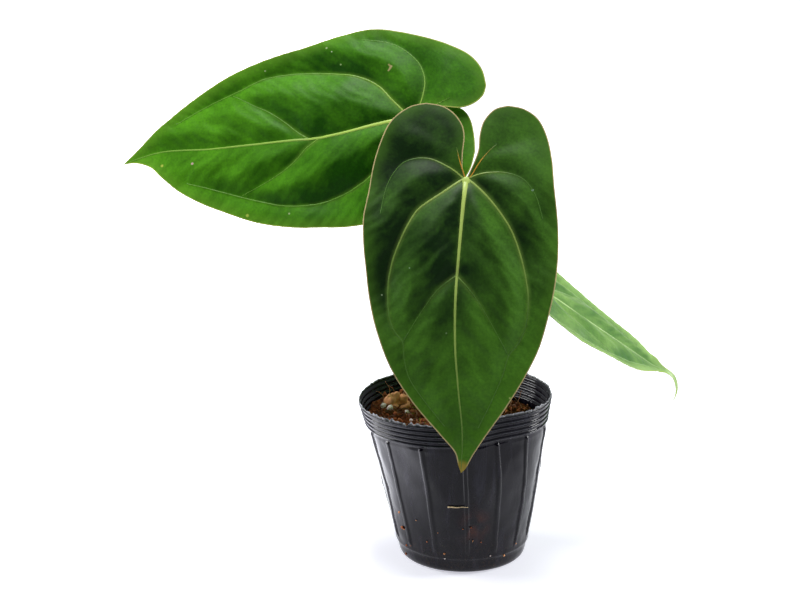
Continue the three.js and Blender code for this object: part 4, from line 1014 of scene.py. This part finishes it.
sheets = {}
for name, leaf in LEAVES.items():
    node = "blade_" + name
    place = leaf_sheet(leaf)
    sheets[name] = place
    skin = leaf_skin(*LOOKS[name]["skin"], LOOKS[name]["marks"])
    halves = [half_blade(leaf, place, side) for side in (-1, 1)]
    open_points, open_faces, count = [], [], 0
    for side, (grid, _) in zip((-1, 1), halves):
        rows, columns = grid.shape[:2]
        corners = np.arange(rows * columns).reshape(rows, columns) + count
        quads = np.stack([corners[:-1, :-1], corners[:-1, 1:], corners[1:, 1:], corners[1:, :-1]],
                         -1).reshape(-1, 4)
        open_faces.extend(map(tuple, quads if side > 0 else quads[:, ::-1]))
        open_points.append(grid.reshape(-1, 3))
        count += rows * columns
    fields = {}
    for field in halves[0][1]:
        values = [half[1][field] for half in halves]
        fields[field] = np.concatenate([v.reshape(-1, 3) if v.ndim == 3 else v.ravel() for v in values])
    points, faces, fields = welded(np.concatenate(open_points), open_faces, fields)
    thin = LEAF_THICKNESS - 0.2 * smooth(4, 0, fields["edge_mm"])
    if point_normals(points, faces)[:, 2].mean() < 0:
        faces = [face[::-1] for face in faces]
    # Painted light and shade: the upper face gets lighter where its cell tilts outward and upward, lighter
    # again on the right half for painted sheen, and lighter towards the tip. The skin mixes from its shade
    # colour to its lit colour by this share.
    outward, leaf_v = fields.pop("outward"), fields["leaf_mm"][:, 1]
    flat_up = place(fields["leaf_mm"][:, 0], leaf_v, 1) - place(fields["leaf_mm"][:, 0], leaf_v, 0)
    tilt = point_normals(points, faces) - flat_up
    aside, above = LOOKS[name]["light"]
    facing = tilt[:, 0] * outward * aside + tilt[:, 2] * above
    ground_tone, contrast, tip_tone, right_sheen = LOOKS[name]["tones"]
    right_half = np.clip(fields["leaf_mm"][:, 0] / 15, -1, 1)
    fields["facing"] = np.clip(
        ground_tone + contrast * facing + tip_tone * smooth(55, 125, leaf_v) + right_sheen * right_half, 0, 1)
    upper = len(points)
    points, faces = thickened(points, faces, thin)
    fields = {field: np.concatenate([values, values]) for field, values in fields.items()}
    fields["back"] = np.concatenate([np.zeros(upper), np.ones(upper)])
    make_piece("leaf_" + name, (points, faces, fields), skin, node)

    veins = leaf_veins(leaf)
    parts = []
    for k, (depth, curve) in enumerate(veins[:-len(leaf["folds"])]):
        if k == 0:
            tip = leaf["midrib"][-1][1]
            curve = spline(leaf["midrib"], 200)
            curve = curve[curve[:, 1] < min(tip, 160 if name == "right" else tip) - 1.5]
        else:
            from_junction = leaf["veins"][k - 1][1][0][1] < 10
            curve = spline([(0, 0.5)] * from_junction + leaf["veins"][k - 1][1], 90)
        share = np.linspace(0, 1, len(curve))
        side = np.sign(curve[len(curve) // 2, 0] + 0.01)
        height = leaf_height(leaf, veins, curve[:, 0], curve[:, 1], side, leaf["midrib"][-1][1])
        path = place(curve[:, 0], curve[:, 1], height + 0.05)
        up = place(curve[:, 0], curve[:, 1], height + 1) - path
        if k == 0:
            half = np.interp(share, [0, 0.08, 0.25, 0.5, 0.7, 0.88, 1],
                             [1.75, 1.25, 0.88, 0.68, 0.5, 0.36, 0.12])
        else:
            half = np.interp(share, [0, 0.06, 0.2, 0.5, 1],
                             [1.15, 0.72, 0.55, 0.42, 0.25]) * (0.5 + depth / 6)
            half = half * (0.88 if from_junction else 0.5)
        rise = 0.1 + 0.28 * half * (1 - 0.5 * share)
        drop = LEAF_THICKNESS + 0.95 * half
        points, faces, along = rod(path, half, rise, drop, up, sides=14)
        ring = np.tile(np.sin(np.linspace(0, 2 * np.pi, 14, endpoint=False)) < -0.2, len(curve))
        posterior = 1.0 if curve[-1, 1] < -15 else 0.0
        # Painted shade: the veins on the lower half of the left blade start more faded, because that half
        # lies in shade.
        shaded = 0.45 if name == "left" and side > 0 else 0.25
        parts.append((points, faces, {
            "fading": along if k == 0 else along * 1.3 + (shaded if from_junction else 0.75),
            "warmth": posterior * smooth(0, 0.2, along) * smooth(1, 0.4, along),
            "back": np.concatenate([ring, [0, 0]])}))
    seat = leaf_height(leaf, veins, np.array([0.0]), np.array([1.5]), 1, 200)
    boss, boss_faces = ball_form(3)
    seat_axes = [place([2.4 * a], [1.5 + 3.0 * b], seat + c * 0.75)[0] - place([0], [1.5], seat)[0]
                 for a, b, c in ((1, 0, 0), (0, 1, 0), (0, 0, 1))]
    parts.append((place([0], [1.5], seat)[0] + boss @ np.array(seat_axes), boss_faces,
                  {"fading": 0.0, "warmth": 0.0, "back": 0.0}))
    make_piece("veins_" + name, gather(parts), vein_skin(*LOOKS[name]["vein"]), node)

# Stalks. The real ones are slender, round and firm, with a leathery green skin and tiny pale flecks. They
# rise from the crown between the bracts, and each ends in a paler swollen joint that carries its blade.
STALKS = {
    "front": [(-4, -5, 96), (-4, -12, 118), (-3, -22, 160), (-1.5, -27.5, 205), (-0.8, -25.5, 232)],
    "left": [(-9.5, 3.5, 94), (-14, 6, 118), (-23, 12, 165), (-29, 19, 215), (-31, 23, 252)],
    "right": [(1.5, 4.5, 93), (6, 9, 112), (10, 17, 138), (10, 25, 162), (9, 29.5, 176)],
}
STALK_SHARES = [0, 0.08, 0.2, 0.9, 0.95, 1]
STALK_RADII = [3.1, 2.7, 2.1, 2.1, 2.7, 2.6]

stalk_skin, add, shader = start_material("firm_flecked_stalk_skin", IOR=1.45, Roughness=0.38)
place = add("TexCoord").outputs["Object"]
lengthwise = add("Mapping", {"Vector": place, "Scale": (1, 1, 0.35)})
flecks = add("TexVoronoi", {"Vector": lengthwise, "Scale": 1 / (1.5 * MM)})
fleck = add("MapRange", {0: flecks, 1: 0.28, 2: 0.12, 4: 0.55})
tone = add("TexNoise", {"Vector": lengthwise, "Scale": 1 / (9 * MM), "Detail": 4})
stalk_green = add("Mix", {0: tone, 6: "#3f6420", 7: "#6f9438"}, data_type="RGBA")
flecked = add("Mix", {0: fleck, 6: stalk_green, 7: "#b4c484"}, data_type="RGBA")
joint = add("Attribute", attribute_name="joint").outputs["Fac"]
jointed = add("Mix", {0: joint, 6: flecked, 7: "#a3bd5c"}, data_type="RGBA")
ridged = add("Bump", {"Strength": 0.5, "Distance": 0.15 * MM, "Height": tone})
fill_sockets(shader, {"Base Color": jointed, "Normal": ridged})
for name, leaf in LEAVES.items():
    veins = leaf_veins(leaf)
    seat = leaf_height(leaf, veins, np.array([0.0]), np.array([2.0]), 1, leaf["midrib"][-1][1])
    ends = [sheets[name]([0.0], [2.0], seat - below)[0] for below in (9.4, 2.4)]
    path = smooth_path(STALKS[name] + ends, 130)
    share = np.linspace(0, 1, 130)
    stalk_radius = np.interp(share, STALK_SHARES, STALK_RADII) * (1 + 0.03 * waves(path, 8, 90))
    points, faces, along = rod(path, stalk_radius, sides=32)
    pale = np.maximum(smooth(0.88, 0.95, along), 0.8 * smooth(0.1, 0, along))
    make_piece("stalk_" + name, (points, faces, {"joint": pale}), stalk_skin, "petiole_" + name)

# Floor, light and camera. A plain white board lit to pure white, pale walls at the sides and behind, a dark
# room on the camera's side, and soft boxes far to the left and right and above. The board glows more at the
# left of the plant and less in front of it, so that the film mirrors it as the real pot does.
floor_mesh = bpy.data.meshes.new("floor")
floor_mesh.from_pydata([(-9, -9, 0), (9, -9, 0), (9, 9, 0), (-9, 9, 0)], [], [(0, 1, 2, 3)])
floor = bpy.data.objects.new("floor", floor_mesh)
bpy.context.scene.collection.objects.link(floor)
floor.location.z = -0.0004

floor_paint, add, shader = start_material(
    "matt_white_board", Roughness=0.9, Specular_IOR_Level=0.2, Emission_Color=(0.9, 0.9, 1, 1))
place = add("TexCoord").outputs["Object"]
away = add("VectorMath", {0: place}, operation="LENGTH")
far = add("MapRange", {
    0: away.outputs["Value"], 1: 0.2, 2: 1.3, 3: 0.0, 4: 0.7}, interpolation_type="SMOOTHSTEP")
front = add("SeparateXYZ", {0: place})
board = add("MapRange", {0: front.outputs[1], 1: -0.13, 2: -0.065}, interpolation_type="SMOOTHSTEP")
beside = add("MapRange", {
    0: front.outputs[0], 1: -0.05, 2: -0.14, 3: 0.6, 4: 3.0}, interpolation_type="SMOOTHSTEP")
from_below = add("Mix", {0: board, 2: 0.18, 3: beside})
lit_board = add("Math", {0: from_below, 1: far}, operation="ADD")
white = add("Mix", {0: board, 6: (0.6, 0.61, 0.63, 1), 7: (0.8, 0.81, 0.83, 1)}, data_type="RGBA")
fill_sockets(shader, {"Emission Strength": lit_board, "Base Color": white})
floor_mesh.materials.append(floor_paint)

world = bpy.data.worlds.new("studio")
bpy.context.scene.world = world
world.use_nodes = True
add = node_adder(world.node_tree)
way = add("SeparateXYZ", {0: add("TexCoord").outputs["Generated"]})
frontward = add("MapRange", {0: way.outputs[1], 1: -0.2, 2: -0.6}, interpolation_type="SMOOTHSTEP")
not_above = add("MapRange", {0: way.outputs[2], 1: 0.95, 2: 0.7}, interpolation_type="SMOOTHSTEP")
dark_side = add("Math", {0: frontward, 1: not_above}, operation="MULTIPLY")
room = add("Mix", {0: dark_side, 6: (0.93, 0.96, 1.0, 1), 7: (0.03, 0.032, 0.036, 1)}, data_type="RGBA")
fill_sockets(world.node_tree.nodes["Background"], {0: room, 1: 0.25})


def soft_box(name, spot, aim, width, height, power):
    """A rectangular studio light."""
    lamp = bpy.data.lights.new(name, "AREA")
    lamp.shape = "RECTANGLE"
    lamp.size, lamp.size_y = width, height
    lamp.energy = power
    made = bpy.data.objects.new(name, lamp)
    made.location = spot
    made.rotation_euler = (Vector(aim) - Vector(spot)).to_track_quat("-Z", "Y").to_euler()
    bpy.context.scene.collection.objects.link(made)


soft_box("box_left", (-1.25, 0.3, 0.45), (0, 0, 0.2), 0.8, 0.4, 16)
soft_box("box_right", (1.25, 0.12, 0.45), (0, 0, 0.2), 0.5, 0.4, 15)
soft_box("box_top", (-0.1, 0.1, 1.4), (0, 0, 0.2), 0.5, 0.5, 14)

camera_data = bpy.data.cameras.new("camera")
camera_data.lens = 88.2
camera_data.sensor_width = 36
camera = bpy.data.objects.new("camera", camera_data)
camera.location = (-0.03883, -1.14025, 0.48026)
camera.rotation_euler = (math.radians(74.4), 0, 0)
bpy.context.scene.collection.objects.link(camera)
bpy.context.scene.camera = camera
bpy.context.scene.view_settings.view_transform = "Standard"
